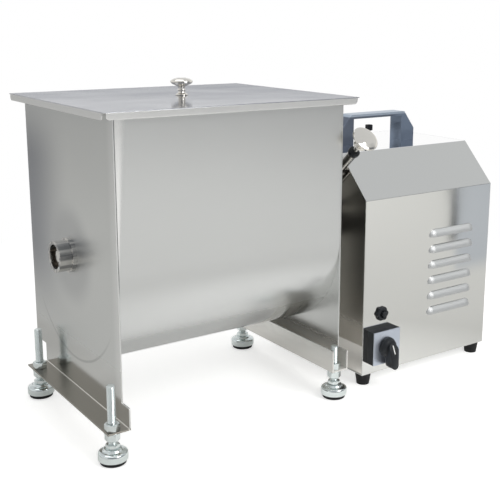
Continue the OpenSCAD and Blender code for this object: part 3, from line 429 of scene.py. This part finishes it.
# %% Plastics, rubber and paint
WEAR, RUBBED_MM = 0.25, 22.222


def moulded(name, colour, rough, ior, grit_mm=0.8, bump=0.15):
    """A moulded or painted surface: one colour, lighter by the share WEAR where it is rubbed."""
    made, tree = new_material(name)
    grit, broad = two_noises(tree, (grit_mm, 2.0), (RUBBED_MM, 3.0))
    coat(tree, broad, (linear(colour), linear(colour, 1 + WEAR)), (rough - 0.07, rough + 0.07),
         (grit, bump, 0.2), PART_EDGE_MM, IOR=ior, Specular_IOR_Level=0.3)
    return made


black_nylon = moulded("glass_filled_nylon_black", "#1D2024", 0.42, 1.53)
black_rubber = moulded("moulded_rubber_black", "#1B1B1C", 0.6, 1.52, 1.0, 0.25)
seal_plastic = moulded("white_ptfe_seal", "#E8E6DE", 0.35, 1.35)
shell_paint = moulded("blue_grey_motor_enamel", "#4A5F73", 0.35, 1.5, 1.5, 0.12)
pointer_paint = moulded("white_marking_paint", "#EDEDEA", 0.45, 1.5)
print("five plastics and paints")

# %% [markdown]
# Each node of the machine takes the finish of its real piece. The CAD meshes stay as they are;
# only the material in their slots changes.

# %% Dress the solid nodes
FEET = ["front_left", "back_left", "front_right", "back_right"]
finishes = {
    sheet_upright: ["right_end_plate", "back_panel", "base_plate"],
    sheet_end: ["left_end_plate"],
    sheet_level: ["trough"],
    sheet_lid: ["lid"],
    sheet_unit: ["front_cover"],
    sheet_polished: ["left_side_panel", "right_side_panel"],
    sheet_handle: ["handle"],
    boss_steel: ["left_bearing_housing"],
    turned_steel: ["drive_neck", "drive_hub", "clamp_sleeve", "clamp_rod", "mixing_shaft"],
    zinc_plate: ["housing_screw", "neck_screws", "upper_foot_nuts", "lower_foot_nuts", "panel_screws"]
    + ["lid_knob_screw"] + ["foot_stud_" + f for f in FEET] + ["foot_cup_" + f for f in FEET],
    chrome: ["lid_knob", "clamp_knob"],
    cast_steel: ["paddle_1", "paddle_2", "paddle_3", "paddle_4"],
    bronze: ["left_bush", "right_bush"],
    gear_steel: ["gear_bearings", "output_shaft", "idler_gears", "motor_rotor"],
    cast_iron: ["gearbox_housing"],
    satin_aluminium: ["switch_plate", "start_capacitor"],
    black_nylon: ["filler_plug", "clamp_collar", "switch_body", "switch_lever", "reset_breaker",
                  "reset_button", "cable_gland"],
    black_rubber: ["rubber_feet"] + ["foot_pad_" + f for f in FEET],
    seal_plastic: ["left_shaft_seal", "right_shaft_seal"],
    shell_paint: ["motor_shell"],
}


def dress(node, finish):
    """Puts one material into every slot of a node's object."""
    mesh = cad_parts[node].data
    if not mesh.materials:
        mesh.materials.append(finish)
    for i in range(len(mesh.materials)):
        mesh.materials[i] = finish


for finish, nodes in finishes.items():
    for node in nodes:
        dress(node, finish)
left_over = sorted(set(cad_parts) - {n for nodes in finishes.values() for n in nodes})
print(len(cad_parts), "nodes dressed, left over:", left_over)

# %% [markdown]
# New pieces are worked out as grids of points. A grid is a function of two parameters; its
# neighbours make the faces. A closed direction joins its last row to its first, equal points are
# merged so that poles and seams close, and edges sharper than 35 degrees stay crisp. Each piece
# rides on the body that carries it and stands for the plain solids that it replaces.

# %% From a grid of points to a mesh
def grid_faces(nu, nv, close_u, close_v, start=0):
    """Corner numbers of the quads between the rows and columns of a grid."""
    u = np.arange(nu if close_u else nu - 1)[:, None]
    v = np.arange(nv if close_v else nv - 1)[None, :]
    a = (u % nu) * nv + v % nv
    b = ((u + 1) % nu) * nv + v % nv
    c = ((u + 1) % nu) * nv + (v + 1) % nv
    d = (u % nu) * nv + (v + 1) % nv
    return np.stack([a, b, c, d], -1).reshape(-1, 4) + start


CRISP_DEG = 35
MERGE_M, FLAT_M = 2e-6, 1e-7


def make_piece(name, grids, finish, body, nodes=()):
    """Joins grids into one object. Each grid is (points in mm, close_u, close_v)."""
    points, faces, start = [], [], 0
    for grid, close_u, close_v in grids:
        nu, nv = grid.shape[:2]
        points.append(place(grid.reshape(-1, 3)))
        faces.append(grid_faces(nu, nv, close_u, close_v, start))
        start += nu * nv
    mesh = bpy.data.meshes.new(name)
    mesh.from_pydata(np.concatenate(points).tolist(), [], np.concatenate(faces).tolist())
    work = bmesh.new()
    work.from_mesh(mesh)
    bmesh.ops.remove_doubles(work, verts=work.verts, dist=MERGE_M)
    bmesh.ops.dissolve_degenerate(work, edges=work.edges, dist=FLAT_M)
    bmesh.ops.recalc_face_normals(work, faces=work.faces)
    for face in work.faces:
        face.smooth = True
    for edge in work.edges:
        edge.smooth = len(edge.link_faces) == 2 and edge.calc_face_angle(0) < math.radians(CRISP_DEG)
    work.to_mesh(mesh)
    work.free()
    mesh.materials.append(finish)
    piece = into_scene(name, mesh)
    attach(piece, body)
    if nodes:
        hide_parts(*nodes)


print("helpers for grids")

# %% [markdown]
# Most of the small pieces are round: turned on a lathe, pressed or moulded. A profile that goes
# round an axis gives them all. Neither a lathe nor a press leaves a corner sharp, and a sharp one
# shows no highlight, so a profile is first rounded a little.

# %% Turned forms
def turned(profile, centre, axis=(0, 0, 1), count=64):
    """A turned form: the profile's (radius, height) pairs go round the axis through centre."""
    profile = np.asarray(profile, float)
    axis = np.asarray(axis, float) / np.linalg.norm(axis)
    side = np.cross(axis, [0.0, 1.0, 0.0] if abs(axis[1]) < 0.9 else [1.0, 0.0, 0.0])
    side /= np.linalg.norm(side)
    other = np.cross(axis, side)
    angle = np.linspace(0, 2 * math.pi, count, endpoint=False)
    ring = np.cos(angle)[:, None] * side + np.sin(angle)[:, None] * other
    out = profile[:, 0, None, None] * ring
    along = profile[:, 1, None, None] * axis
    return np.asarray(centre, float) + out + along, False, True


def as_ring(form):
    """Closes a turned form whose profile goes round a bore, from its last row to its first."""
    grid, _, around = form
    return grid, True, around


def eased(profile, step=0.5):
    """Rounds a profile: points every step mm along it, then a short moving average.
    The two ends stay where they are, so what they close stays closed."""
    profile = np.asarray(profile, float)
    run = np.concatenate([[0], np.cumsum(np.hypot(*np.diff(profile, axis=0).T))])
    s = np.linspace(0, run[-1], max(8, int(run[-1] / step)))
    fine = np.stack([np.interp(s, run, profile[:, k]) for k in (0, 1)], 1)
    soft = fine.copy()
    soft[1:-1] = (fine[:-2] + 2 * fine[1:-1] + fine[2:]) / 4
    soft[1:-1] = (soft[:-2] + 2 * soft[1:-1] + soft[2:]) / 4
    return soft


print("helpers for turned forms")

# %% [markdown]
# The levelling feet show most of all the small pieces: a threaded stud of 12 mm, a hexagon
# collar, and a pressed cup that steps down to a rubber pad. The thread is one surface: at each
# height its radius depends on the height less the turn, so the ridge climbs by one pitch a turn.

# %% Threaded studs
PITCH_MM, STUD_R = 1.75, 5.95
STUD_FROM, COLLAR_FROM, COLLAR_TO = 25.0, 21.0, 27.0
COLLAR_FLATS, COLLAR_BORE = 17.0, 3.0
FOOT_PLACES = dict(zip(FEET, [(-19.75, -11.2), (-19.75, 248.5), (350.25, -11.2), (350.25, 248.5)]))
STUD_TOP = dict(zip(FEET, [107.7, 107.7, 82.4, 82.4]))


def thread(x, y, low, high, depth=0.75, tip_mm=1.2, tip_share=0.86, per_pitch=6, count=24):
    """Radius = the stud's less depth times a triangle wave of (height / pitch - turn). Over the
    last tip_mm it goes down to the share tip_share."""
    rows = int((high - low) / PITCH_MM * per_pitch)
    z = np.linspace(low, high, rows)[:, None]
    a = np.linspace(0, 2 * math.pi, count, endpoint=False)[None, :]
    wave = np.abs(((z / PITCH_MM - a / (2 * math.pi)) % 1.0) * 2 - 1)
    below_tip = np.clip((high - z) / tip_mm, 0, 1)
    radius = (STUD_R - depth * wave) * (tip_share + (1 - tip_share) * below_tip)
    radius = np.concatenate([np.zeros((1, count)), radius, np.zeros((1, count))])
    z = np.concatenate([[[low]], z, [[high]]])
    grid = np.stack([x + radius * np.cos(a), y + radius * np.sin(a), z + 0 * a], -1)
    return grid, False, True


def hexagon_nut(x, y, low, high, flats, bore, cone_share=0.96, cone_slope=1.73, count=72):
    """A nut as one closed ring. Its outside follows the hexagon's radius, half the flats over the
    cosine of the angle to the nearest flat, cut back near both faces by a 30 degree cone."""
    a = np.linspace(0, 2 * math.pi, count, endpoint=False)
    near = (a + math.pi / 6) % (math.pi / 3) - math.pi / 6
    hexagon = flats / 2 / np.cos(near)
    height = high - low
    rows = []
    for part in (0.0, 0.04, 0.09, 0.16, 0.5, 0.84, 0.91, 0.96, 1.0):
        cone = flats / 2 * cone_share + min(part, 1 - part) * height * cone_slope
        rows.append(np.stack([np.minimum(hexagon, cone), np.full(count, low + part * height)], -1))
    for z in (high, low):
        rows.append(np.stack([np.full(count, bore), np.full(count, z)], -1))
    ring = np.array(rows)
    grid = np.stack([x + ring[..., 0] * np.cos(a), y + ring[..., 0] * np.sin(a), ring[..., 1]], -1)
    return grid, True, True


for foot in FEET:
    x, y = FOOT_PLACES[foot]
    collar = hexagon_nut(x, y, COLLAR_FROM, COLLAR_TO, COLLAR_FLATS, COLLAR_BORE)
    make_piece("stud_" + foot, [thread(x, y, STUD_FROM, STUD_TOP[foot]), collar], zinc_plate,
               "foot_" + foot, ["foot_stud_" + foot])
turns = (STUD_TOP["front_left"] - COLLAR_TO) / PITCH_MM
print("four threaded studs,", round(turns), "turns on the left ones")

# %% [markdown]
# The cup is pressed from sheet: a straight skirt, a shoulder and a raised middle that carries the
# stud. The pad is moulded rubber with a groove round it, pushed into the skirt. Both are round, so
# one profile each is all they need.

# %% Foot cups and pads
cup_profile = eased([(0, 7.4), (17.2, 7.4), (17.6, 5.6), (19.4, 5.5), (20.0, 6.2), (20.0, 14.2),
                     (19.2, 16.2), (17.0, 17.4), (13.6, 18.2), (12.6, 19.4), (12.0, 20.7),
                     (10.4, 21.2), (0, 21.2)], 0.45)
pad_profile = eased([(0, 0), (16.2, 0), (17.0, 0.5), (17.5, 1.2), (17.5, 3.4), (16.9, 3.8),
                     (16.9, 4.4), (17.5, 4.8), (17.5, 7.0), (0, 7.0)], 0.45)
for foot in FEET:
    cup = turned(cup_profile, (*FOOT_PLACES[foot], 0))
    pad = turned(pad_profile, (*FOOT_PLACES[foot], 0))
    make_piece("cup_" + foot, [cup], zinc_plate, "foot_" + foot, ["foot_cup_" + foot])
    make_piece("pad_" + foot, [pad], black_rubber, "foot_" + foot, ["foot_pad_" + foot])
print("four cups of", 2 * round(cup_profile[:, 0].max(), 1), "mm")

# %% [markdown]
# A nut above the flange, and a washer and a nut below it, hold each stud. They stay with the tank
# when a foot is screwed up or down, so they are pieces of the tank's frame.

# %% Nuts and washers on the foot flanges
NUT_H, NUT_FLATS, NUT_BORE, WASHER_H = 10.0, 18.0, 6.0, 1.5
WASHER_TOP = FLANGE_TOP - PLATE
WASHER_BOTTOM = WASHER_TOP - WASHER_H
washer_profile = eased([(6.2, 0), (10.8, 0), (11.0, 0.3), (11.0, 1.2), (10.8, WASHER_H),
                        (6.2, WASHER_H)], 0.3)
upper, lower = [], []
for foot in FEET:
    x, y = FOOT_PLACES[foot]
    upper.append(hexagon_nut(x, y, FLANGE_TOP, FLANGE_TOP + NUT_H, NUT_FLATS, NUT_BORE))
    lower.append(hexagon_nut(x, y, WASHER_BOTTOM - NUT_H, WASHER_BOTTOM, NUT_FLATS, NUT_BORE))
    lower.append(as_ring(turned(washer_profile, (x, y, WASHER_BOTTOM))))
make_piece("nuts_above_flange", upper, zinc_plate, "tank_frame", ["upper_foot_nuts"])
make_piece("nuts_below_flange", lower, zinc_plate, "tank_frame", ["lower_foot_nuts"])
print("eight nuts, four washers")

# %% [markdown]
# The lid's knob is turned from bar: a flared foot, a waist with a bead, and a mushroom head. A
# profile eased at its corners gives the soft highlights of polished turning.

# %% Lid knob
LID_TOP, KNOB_BORE_R, KNOB_BORE_H = 459.5, 3.0, 13.0
bore = [(0, KNOB_BORE_H), (KNOB_BORE_R, KNOB_BORE_H), (KNOB_BORE_R, 0)]
knob_profile = eased([(KNOB_BORE_R, 0), (8.8, 0), (9.2, 0.5), (9.0, 1.6), (7.0, 2.6), (5.4, 4.2),
                      (4.9, 6.0), (5.9, 7.2), (5.9, 8.4), (5.0, 9.6), (4.9, 11.0), (6.2, 12.8),
                      (9.8, 14.8), (14.2, 16.8), (16.2, 18.6), (16.5, 20.2), (15.8, 21.9),
                      (12.6, 23.9), (7.0, 25.5), (0, 26.0)], 0.4)
knob = turned(np.concatenate([bore, knob_profile]), (TANK_L / 2, AXIS_Y, LID_TOP))
make_piece("turned_lid_knob", [knob], chrome, "lid", ["lid_knob"])
print("the knob's head is", 2 * knob_profile[:, 0].max().round(1), "mm across")

# %% [markdown]
# The clamp rod points at the shaft's axis, 42 degrees above the horizontal. Its knob is a thin
# polished disc on a cone, with a black ring below it. Both are turned about the rod, so only their
# profiles and the rod's direction are needed, and the ring's profile goes round the rod's bore.

# %% Clamp knob and ring
ROD_X, ROD_ANGLE, ROD_TO, RING_FROM = UNIT_X - 12.0, math.radians(42), 222.0, 194.0
rod_way = np.array([0.0, -math.cos(ROD_ANGLE), math.sin(ROD_ANGLE)])
rod_foot = np.array([ROD_X, AXIS_Y, AXIS_Z])
CLAMP_KNOB_R, ROD_SINK_SHARE = 21.0, 0.378
CLAMP_KNOB_FROM = ROD_TO - CLAMP_KNOB_R * ROD_SINK_SHARE
clamp_profile = eased([(0, 11.0), (4.5, 11.0), (4.5, 0), (9.6, 0), (10.4, 0.8), (9.6, 2.4), (7.2, 4.6),
                       (6.3, 7.4), (7.4, 9.4), (12.0, 12.4), (18.0, 15.2), (20.6, 16.4),
                       (CLAMP_KNOB_R, 17.4), (20.4, 18.6), (17.6, 19.8), (11.0, 21.3), (0, 22.0)], 0.45)
knob = turned(clamp_profile, rod_foot + rod_way * CLAMP_KNOB_FROM, rod_way)
make_piece("polished_clamp_knob", [knob], chrome, "clamp", ["clamp_knob"])
ring_profile = eased([(4.5, 0), (8.0, 0), (8.9, 0.9), (9.0, 3.5), (8.9, 6.1), (8.0, 7.0), (4.5, 7.0)], 0.4)
ring = as_ring(turned(ring_profile, rod_foot + rod_way * RING_FROM, rod_way))
make_piece("clamp_ring", [ring], black_nylon, "clamp", ["clamp_collar"])
print("clamp knob", 2 * CLAMP_KNOB_R, "mm across")

# %% [markdown]
# The gearbox's filler cap is a small square block with soft corners on a thin neck. Its outline is
# a square whose corners are drawn in: the radius at an angle is half the side over the largest of
# the cosine and sine, never more than a circle that cuts the corners.

# %% Filler cap
NECK_R, NECK_H = 3.0, 15.5
cap_low, cap_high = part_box("filler_plug")
cap_mid = (np.array(cap_low) + np.array(cap_high)) / 2 * MM_PER_M + CORNER
cap_side = (cap_high[0] - cap_low[0]) * MM_PER_M
cap_top = cap_high[2] * MM_PER_M


def square_rows(rows, corner_share=1.28, count=64):
    """Rows of (share, mm below the top): the soft square scaled by the share, at that depth."""
    a = np.linspace(0, 2 * math.pi, count, endpoint=False)
    square = 1 / np.maximum(np.abs(np.cos(a)), np.abs(np.sin(a)))
    radius = np.minimum(square, corner_share) * cap_side / 2
    share, down = np.array(rows).T[:, :, None]
    x = cap_mid[0] + share * radius * np.cos(a)
    y = cap_mid[1] + share * radius * np.sin(a)
    return np.stack([x, y, cap_top - down + 0 * a], -1), False, True


neck_profile = eased([(0, 0), (NECK_R, 0), (NECK_R, NECK_H), (0, NECK_H)], 0.4)
neck = turned(neck_profile, (*cap_mid[:2], UNIT_TOP), count=32)
block = square_rows([(0, cap_side), (0.9, cap_side), (1, cap_side - 0.6), (1, 1), (0.94, 0.3), (0.86, 0),
                     (0.30, 0), (0, 0)])
make_piece("filler_cap", [neck, block], black_nylon, "motor_unit", ["filler_plug"])
print("filler cap", round(cap_side, 1), "mm square")

# %% [markdown]
# The switch lever is a round base with a tapered grip. The grip's outline wraps two circles, a
# wide one on the spindle and a narrow one at the tip: a point of the outline is the circle's centre
# plus its radius in the direction of the outline's normal. Drawing both radii in a little at the
# top of the grip rounds its edge. The wide end slopes down to the base, and a thin white bar on
# that slope is the pointer.

# %% Switch lever
CONTROL_X, SWITCH_Z, RESET_Z = UNIT_X + 37.0, 65.0, 116.0
LEVER_FROM, LEVER_H = 16.0, 22.0
SLOPE_FROM, SLOPE_DROP = -6.0, 10.0
TOWARDS_FRONT = (0, -1, 0)


def outward(z, u, v, w):
    """A place by a control's middle, which is at height z: u to the right, v up, w out."""
    return np.stack([CONTROL_X + u, UNIT_FRONT - w, z + v], -1)


def grip_grid(rows, reach=25.5, wide=9.0, narrow=6.5, count=72):
    """Rows of (inset, height): each is the outline of the two circles, drawn in by the inset.
    Above v = SLOPE_FROM every height is lowered in step, by SLOPE_DROP at the top's wide end."""
    a = np.linspace(0, 2 * math.pi, count, endpoint=False)
    lean = math.asin((wide - narrow) / reach)
    at_tip = np.sin(a) < -math.sin(lean)
    grid = []
    for inset, out in rows:
        radius = np.maximum(np.where(at_tip, narrow, wide) - inset, 0.01)
        u = radius * np.cos(a)
        v = radius * np.sin(a) - np.where(at_tip, reach, 0.0)
        if inset > wide - 0.5:
            u, v = u * 0, v * 0 - reach / 2
        drop = SLOPE_DROP * np.clip((v - SLOPE_FROM) / (wide - SLOPE_FROM), 0, 1) * out / LEVER_H
        grid.append(outward(SWITCH_Z, u, v, LEVER_FROM + out - drop))
    return np.array(grid), False, True


base_profile = eased([(0, 0), (15.4, 0), (16.0, 0.6), (16.0, 2.8), (15.0, 4.0), (14.2, 6.4), (12.6, 8.6),
                      (9.0, 10.0), (0, 10.0)], 0.4)
dial = turned(base_profile, (CONTROL_X, UNIT_FRONT - LEVER_FROM, SWITCH_Z), TOWARDS_FRONT)
grip = grip_grid([(9.4, 3.2), (1.4, 3.2), (0.8, 4.2), (0.5, 10.0), (0.4, 14.0), (0.3, 18.5), (0.1, 20.0),
                  (0.0, 20.8), (0.5, 21.6), (1.6, LEVER_H), (9.4, LEVER_H)])
make_piece("lever_dial_and_grip", [dial, grip], black_nylon, "switch_lever", ["switch_lever"])
bar = np.array([(-0.9, -6.5, 18.9), (0.9, -6.5, 18.9), (0.9, 6.0, 13.2), (-0.9, 6.0, 13.2)])
sides = np.array([outward(SWITCH_Z, bar[:, 0], bar[:, 1], LEVER_FROM + bar[:, 2] + w) for w in (-0.3, 0.5)])
under, top = sides.mean(1, keepdims=True).repeat(4, 1)
bar_grid = np.array([under, *sides, top])
make_piece("lever_pointer", [(bar_grid, False, True)], pointer_paint, "switch_lever")
print("the lever stands", LEVER_FROM + LEVER_H, "mm out of the sheet")

# %% [markdown]
# The breaker's nut is a lobed knob: its radius is a mean radius plus a small cosine that repeats
# six times round. It is a ring round the breaker's barrel, and the barrel's bore leaves room for
# the reset button, which has a domed end and goes 3 mm in.

# %% Reset nut and button
NUT_R, LOBE = 10.9, 0.8


def lobed(rows, lobes=6, count=96):
    """Rows of (share, height): the lobed outline scaled by the share, at that height."""
    a = np.linspace(0, 2 * math.pi, count, endpoint=False)
    radius = NUT_R + LOBE * np.cos(lobes * a)
    share, out = np.array(rows).T[:, :, None]
    return outward(RESET_Z, share * radius * np.cos(a), share * radius * np.sin(a), out + 0 * a), True, True


nut = lobed([(0.56, 0.0), (0.96, 0.0), (1.0, 0.5), (1.0, 3.4), (0.97, 4.4), (0.9, 5.0), (0.62, 5.3),
             (0.56, 4.9)])
barrel_profile = eased([(0, -31.5), (7.6, -31.5), (8.0, -31.0), (8.0, -3.0), (7.0, -1.5), (6.7, -1.2),
                        (6.7, 4.7), (5.5, 4.7), (5.5, -4.5), (0, -4.5)], 0.4)
barrel = turned(barrel_profile, (CONTROL_X, UNIT_FRONT, RESET_Z), TOWARDS_FRONT, 48)
make_piece("lobed_reset_nut", [nut, barrel], black_nylon, "motor_unit", ["reset_breaker"])
button_profile = eased([(0, 1.0), (4.9, 1.0), (5.0, 3.0), (5.0, 8.4), (4.6, 9.4), (3.4, 9.9), (0, 10.0)], 0.3)
button = turned(button_profile, (CONTROL_X, UNIT_FRONT, RESET_Z), TOWARDS_FRONT, 40)
make_piece("domed_reset_button", [button], black_nylon, "reset_button", ["reset_button"])
print("nut", round(2 * (NUT_R + LOBE), 1), "mm across its lobes")

# %% [markdown]
# The floor is a large pale sheet of paper. The camera sees it as matt paper that fades into the
# white backdrop. In a mirror it shows a little more, which the paper's own material draws for
# mirrors only. To the right it draws a grey-blue card with a dark line along its near edge, a
# painted reflection, which only the motor cover's right side mirrors. And close to the machine,
# which shades the paper, a glow that only mirrors see keeps it white, a painted light, but under
# the tank the glow is weaker, a painted shadow.

# %% Floor
FLOOR_HALF = 12.0
WHITE = linear("#FFFFFF")
PAINTED_CARD_WAY = (0.687, 0.727, 0.0)
FLOOR_GLOW, MIRRORED_GLOW, SHADE_SHARE = 0.55, 0.37, 0.67
paper, tree = new_material("white_paper_floor")
path = add(tree, "LightPath")
seen = path.outputs["Is Camera Ray"]
glossy = path.outputs["Is Glossy Ray"]
spot = add(tree, "TexCoord").outputs["Object"]
y_at = add(tree, "SeparateXYZ", Vector=spot).outputs["Y"]
away = add(tree, "VectorMath", {"operation": "LENGTH"}, in0=spot).outputs["Value"]
right_of = add(tree, "VectorMath", {"operation": "DOT_PRODUCT"}, in0=spot, in1=PAINTED_CARD_WAY).outputs["Value"]
# Painted reflection: a grey-blue card and a dark line that only mirrors see on the paper.
painted_card_reflection = patch(tree, (right_of, 0.082, 0.094), (y_at, -0.48, -0.60), share=glossy)
painted_line_reflection = patch(tree, (right_of, 0.066, 0.076), (right_of, 0.094, 0.084), (y_at, -0.66, -0.84), share=glossy)
tone = linear("#EBEBE9")
for mask, colour in ((painted_card_reflection, "#CDD2D9"), (painted_line_reflection, "#33363B")):
    tone = add(tree, "Mix", {"data_type": "RGBA"}, in0=mask, in6=tone, in7=linear(colour)).outputs[2]
matt = add(tree, "BsdfDiffuse", Color=tone).outputs[0]
# Painted light and shadow: a glow that only mirrors see lights the paper close to the machine, weaker under
# the tank.
shade = patch(tree, (y_at, -0.105, -0.075), (y_at, 0.16, 0.08), share=MIRRORED_GLOW * SHADE_SHARE)
lit = add(tree, "Math", {"operation": "SUBTRACT"}, in0=MIRRORED_GLOW, in1=shade).outputs[0]
close = patch(tree, (away, 0.50, 0.26), share=lit, soft=False)
mirrored = add(tree, "Math", {"operation": "MULTIPLY"}, in0=close, in1=glossy).outputs[0]
lift = add(tree, "Math", {"operation": "MULTIPLY_ADD"}, in0=seen, in1=FLOOR_GLOW, in2=mirrored).outputs[0]
glow = add(tree, "Emission", Color=WHITE, Strength=lift).outputs[0]
near = add(tree, "AddShader", in0=matt, in1=glow).outputs[0]
# Past 1.1 m from the machine the camera sees the same white as the backdrop.
far = patch(tree, (away, 0.7, 1.1), share=seen, soft=False)
white = add(tree, "Emission", Color=WHITE, Strength=1.0).outputs[0]
both = add(tree, "MixShader", in0=far, in1=near, in2=white).outputs[0]
add(tree, "OutputMaterial", Surface=both)
sheet = bpy.data.meshes.new("floor")
corners = [(x * FLOOR_HALF, y * FLOOR_HALF, 0) for x, y in ((-1, -1), (1, -1), (1, 1), (-1, 1))]
sheet.from_pydata(corners, [], [(0, 1, 2, 3)])
sheet.materials.append(paper)
floor = into_scene("floor", sheet)
print("floor laid,", 2 * FLOOR_HALF, "m wide")

# %% [markdown]
# Polished steel shows the room, so the room has a shape: a grey band along the foot of the far
# wall, a white wall above it and a duller ceiling. The flat lid mirrors the grey band, the lower
# top of the motor unit mirrors the white wall, and its slope mirrors the ceiling. The front of the
# room, high up, is dark: flat faces never mirror it, and turned metal shows it as a dark streak.
# The camera itself sees plain white, and matt surfaces are lit by an even, weaker white.

# %% The room
ROOM_BANDS = [(0.0, "#83868D"), (0.083, "#989BA3"), (0.097, "#FFFFFF"), (0.30, "#F4F4F3"), (0.5, "#D9DBDD"),
              (1.0, "#D4D6D9")]
EVEN_LIGHT = 0.55
world = bpy.data.worlds.new("studio")
bpy.context.scene.world = world
world.use_nodes = True
tree = world.node_tree
tree.nodes.clear()
ray = add(tree, "LightPath").outputs
way = add(tree, "SeparateXYZ", Vector=add(tree, "TexCoord").outputs["Generated"]).outputs
ramp = add(tree, "ValToRGB", Fac=way["Z"])
stops = ramp.color_ramp.elements
while len(stops) < len(ROOM_BANDS):
    stops.new(0.5)
for stop, (height, colour) in zip(stops, ROOM_BANDS):
    stop.position = height
    stop.color = linear(colour)
behind = patch(tree, (way["Y"], -0.25, -0.55), (way["Z"], 0.08, 0.16), (way["Z"], 0.6, 0.45), soft=False)
walls = add(tree, "Mix", {"data_type": "RGBA"}, in0=behind, in6=ramp.outputs["Color"], in7=linear("#7E8186"))
room = add(tree, "Background", Color=walls.outputs[2], Strength=1.0).outputs[0]
backdrop = add(tree, "Background", Color=WHITE, Strength=1.0).outputs[0]
ambient = add(tree, "Background", Color=WHITE, Strength=EVEN_LIGHT).outputs[0]
mirrored = add(tree, "MixShader", in0=ray["Is Glossy Ray"], in1=ambient, in2=room).outputs[0]
studio = add(tree, "MixShader", in0=ray["Is Camera Ray"], in1=mirrored, in2=backdrop).outputs[0]
add(tree, "OutputWorld", Surface=studio)
print(len(ROOM_BANDS), "bands from the floor's edge to overhead")

# %% [markdown]
# Two square lamps give the soft shadows: a strong one high at the front right, and a weak one
# overhead, a little towards the back.

# %% Lamps
def softbox(name, at, towards, size, watts):
    """A square area lamp at one place that faces another."""
    lamp = bpy.data.lights.new(name, "AREA")
    lamp.shape = "SQUARE"
    lamp.size = size
    lamp.energy = watts
    back = np.array(at, float) - np.array(towards, float)
    back /= np.linalg.norm(back)
    side = np.cross([0, 0, 1.0], back)
    side /= np.linalg.norm(side)
    into_scene(name, lamp).matrix_world = facing(side, np.cross(back, side), back, at)


softbox("key", (0.7, -2.3, 1.9), (0.2, -0.4, 0.0), 1.4, 34)
softbox("top", (-0.3, 0.5, 2.4), (0, 0, 0.2), 1.6, 8)
bpy.context.scene.view_settings.view_transform = "Standard"
print("two lamps")
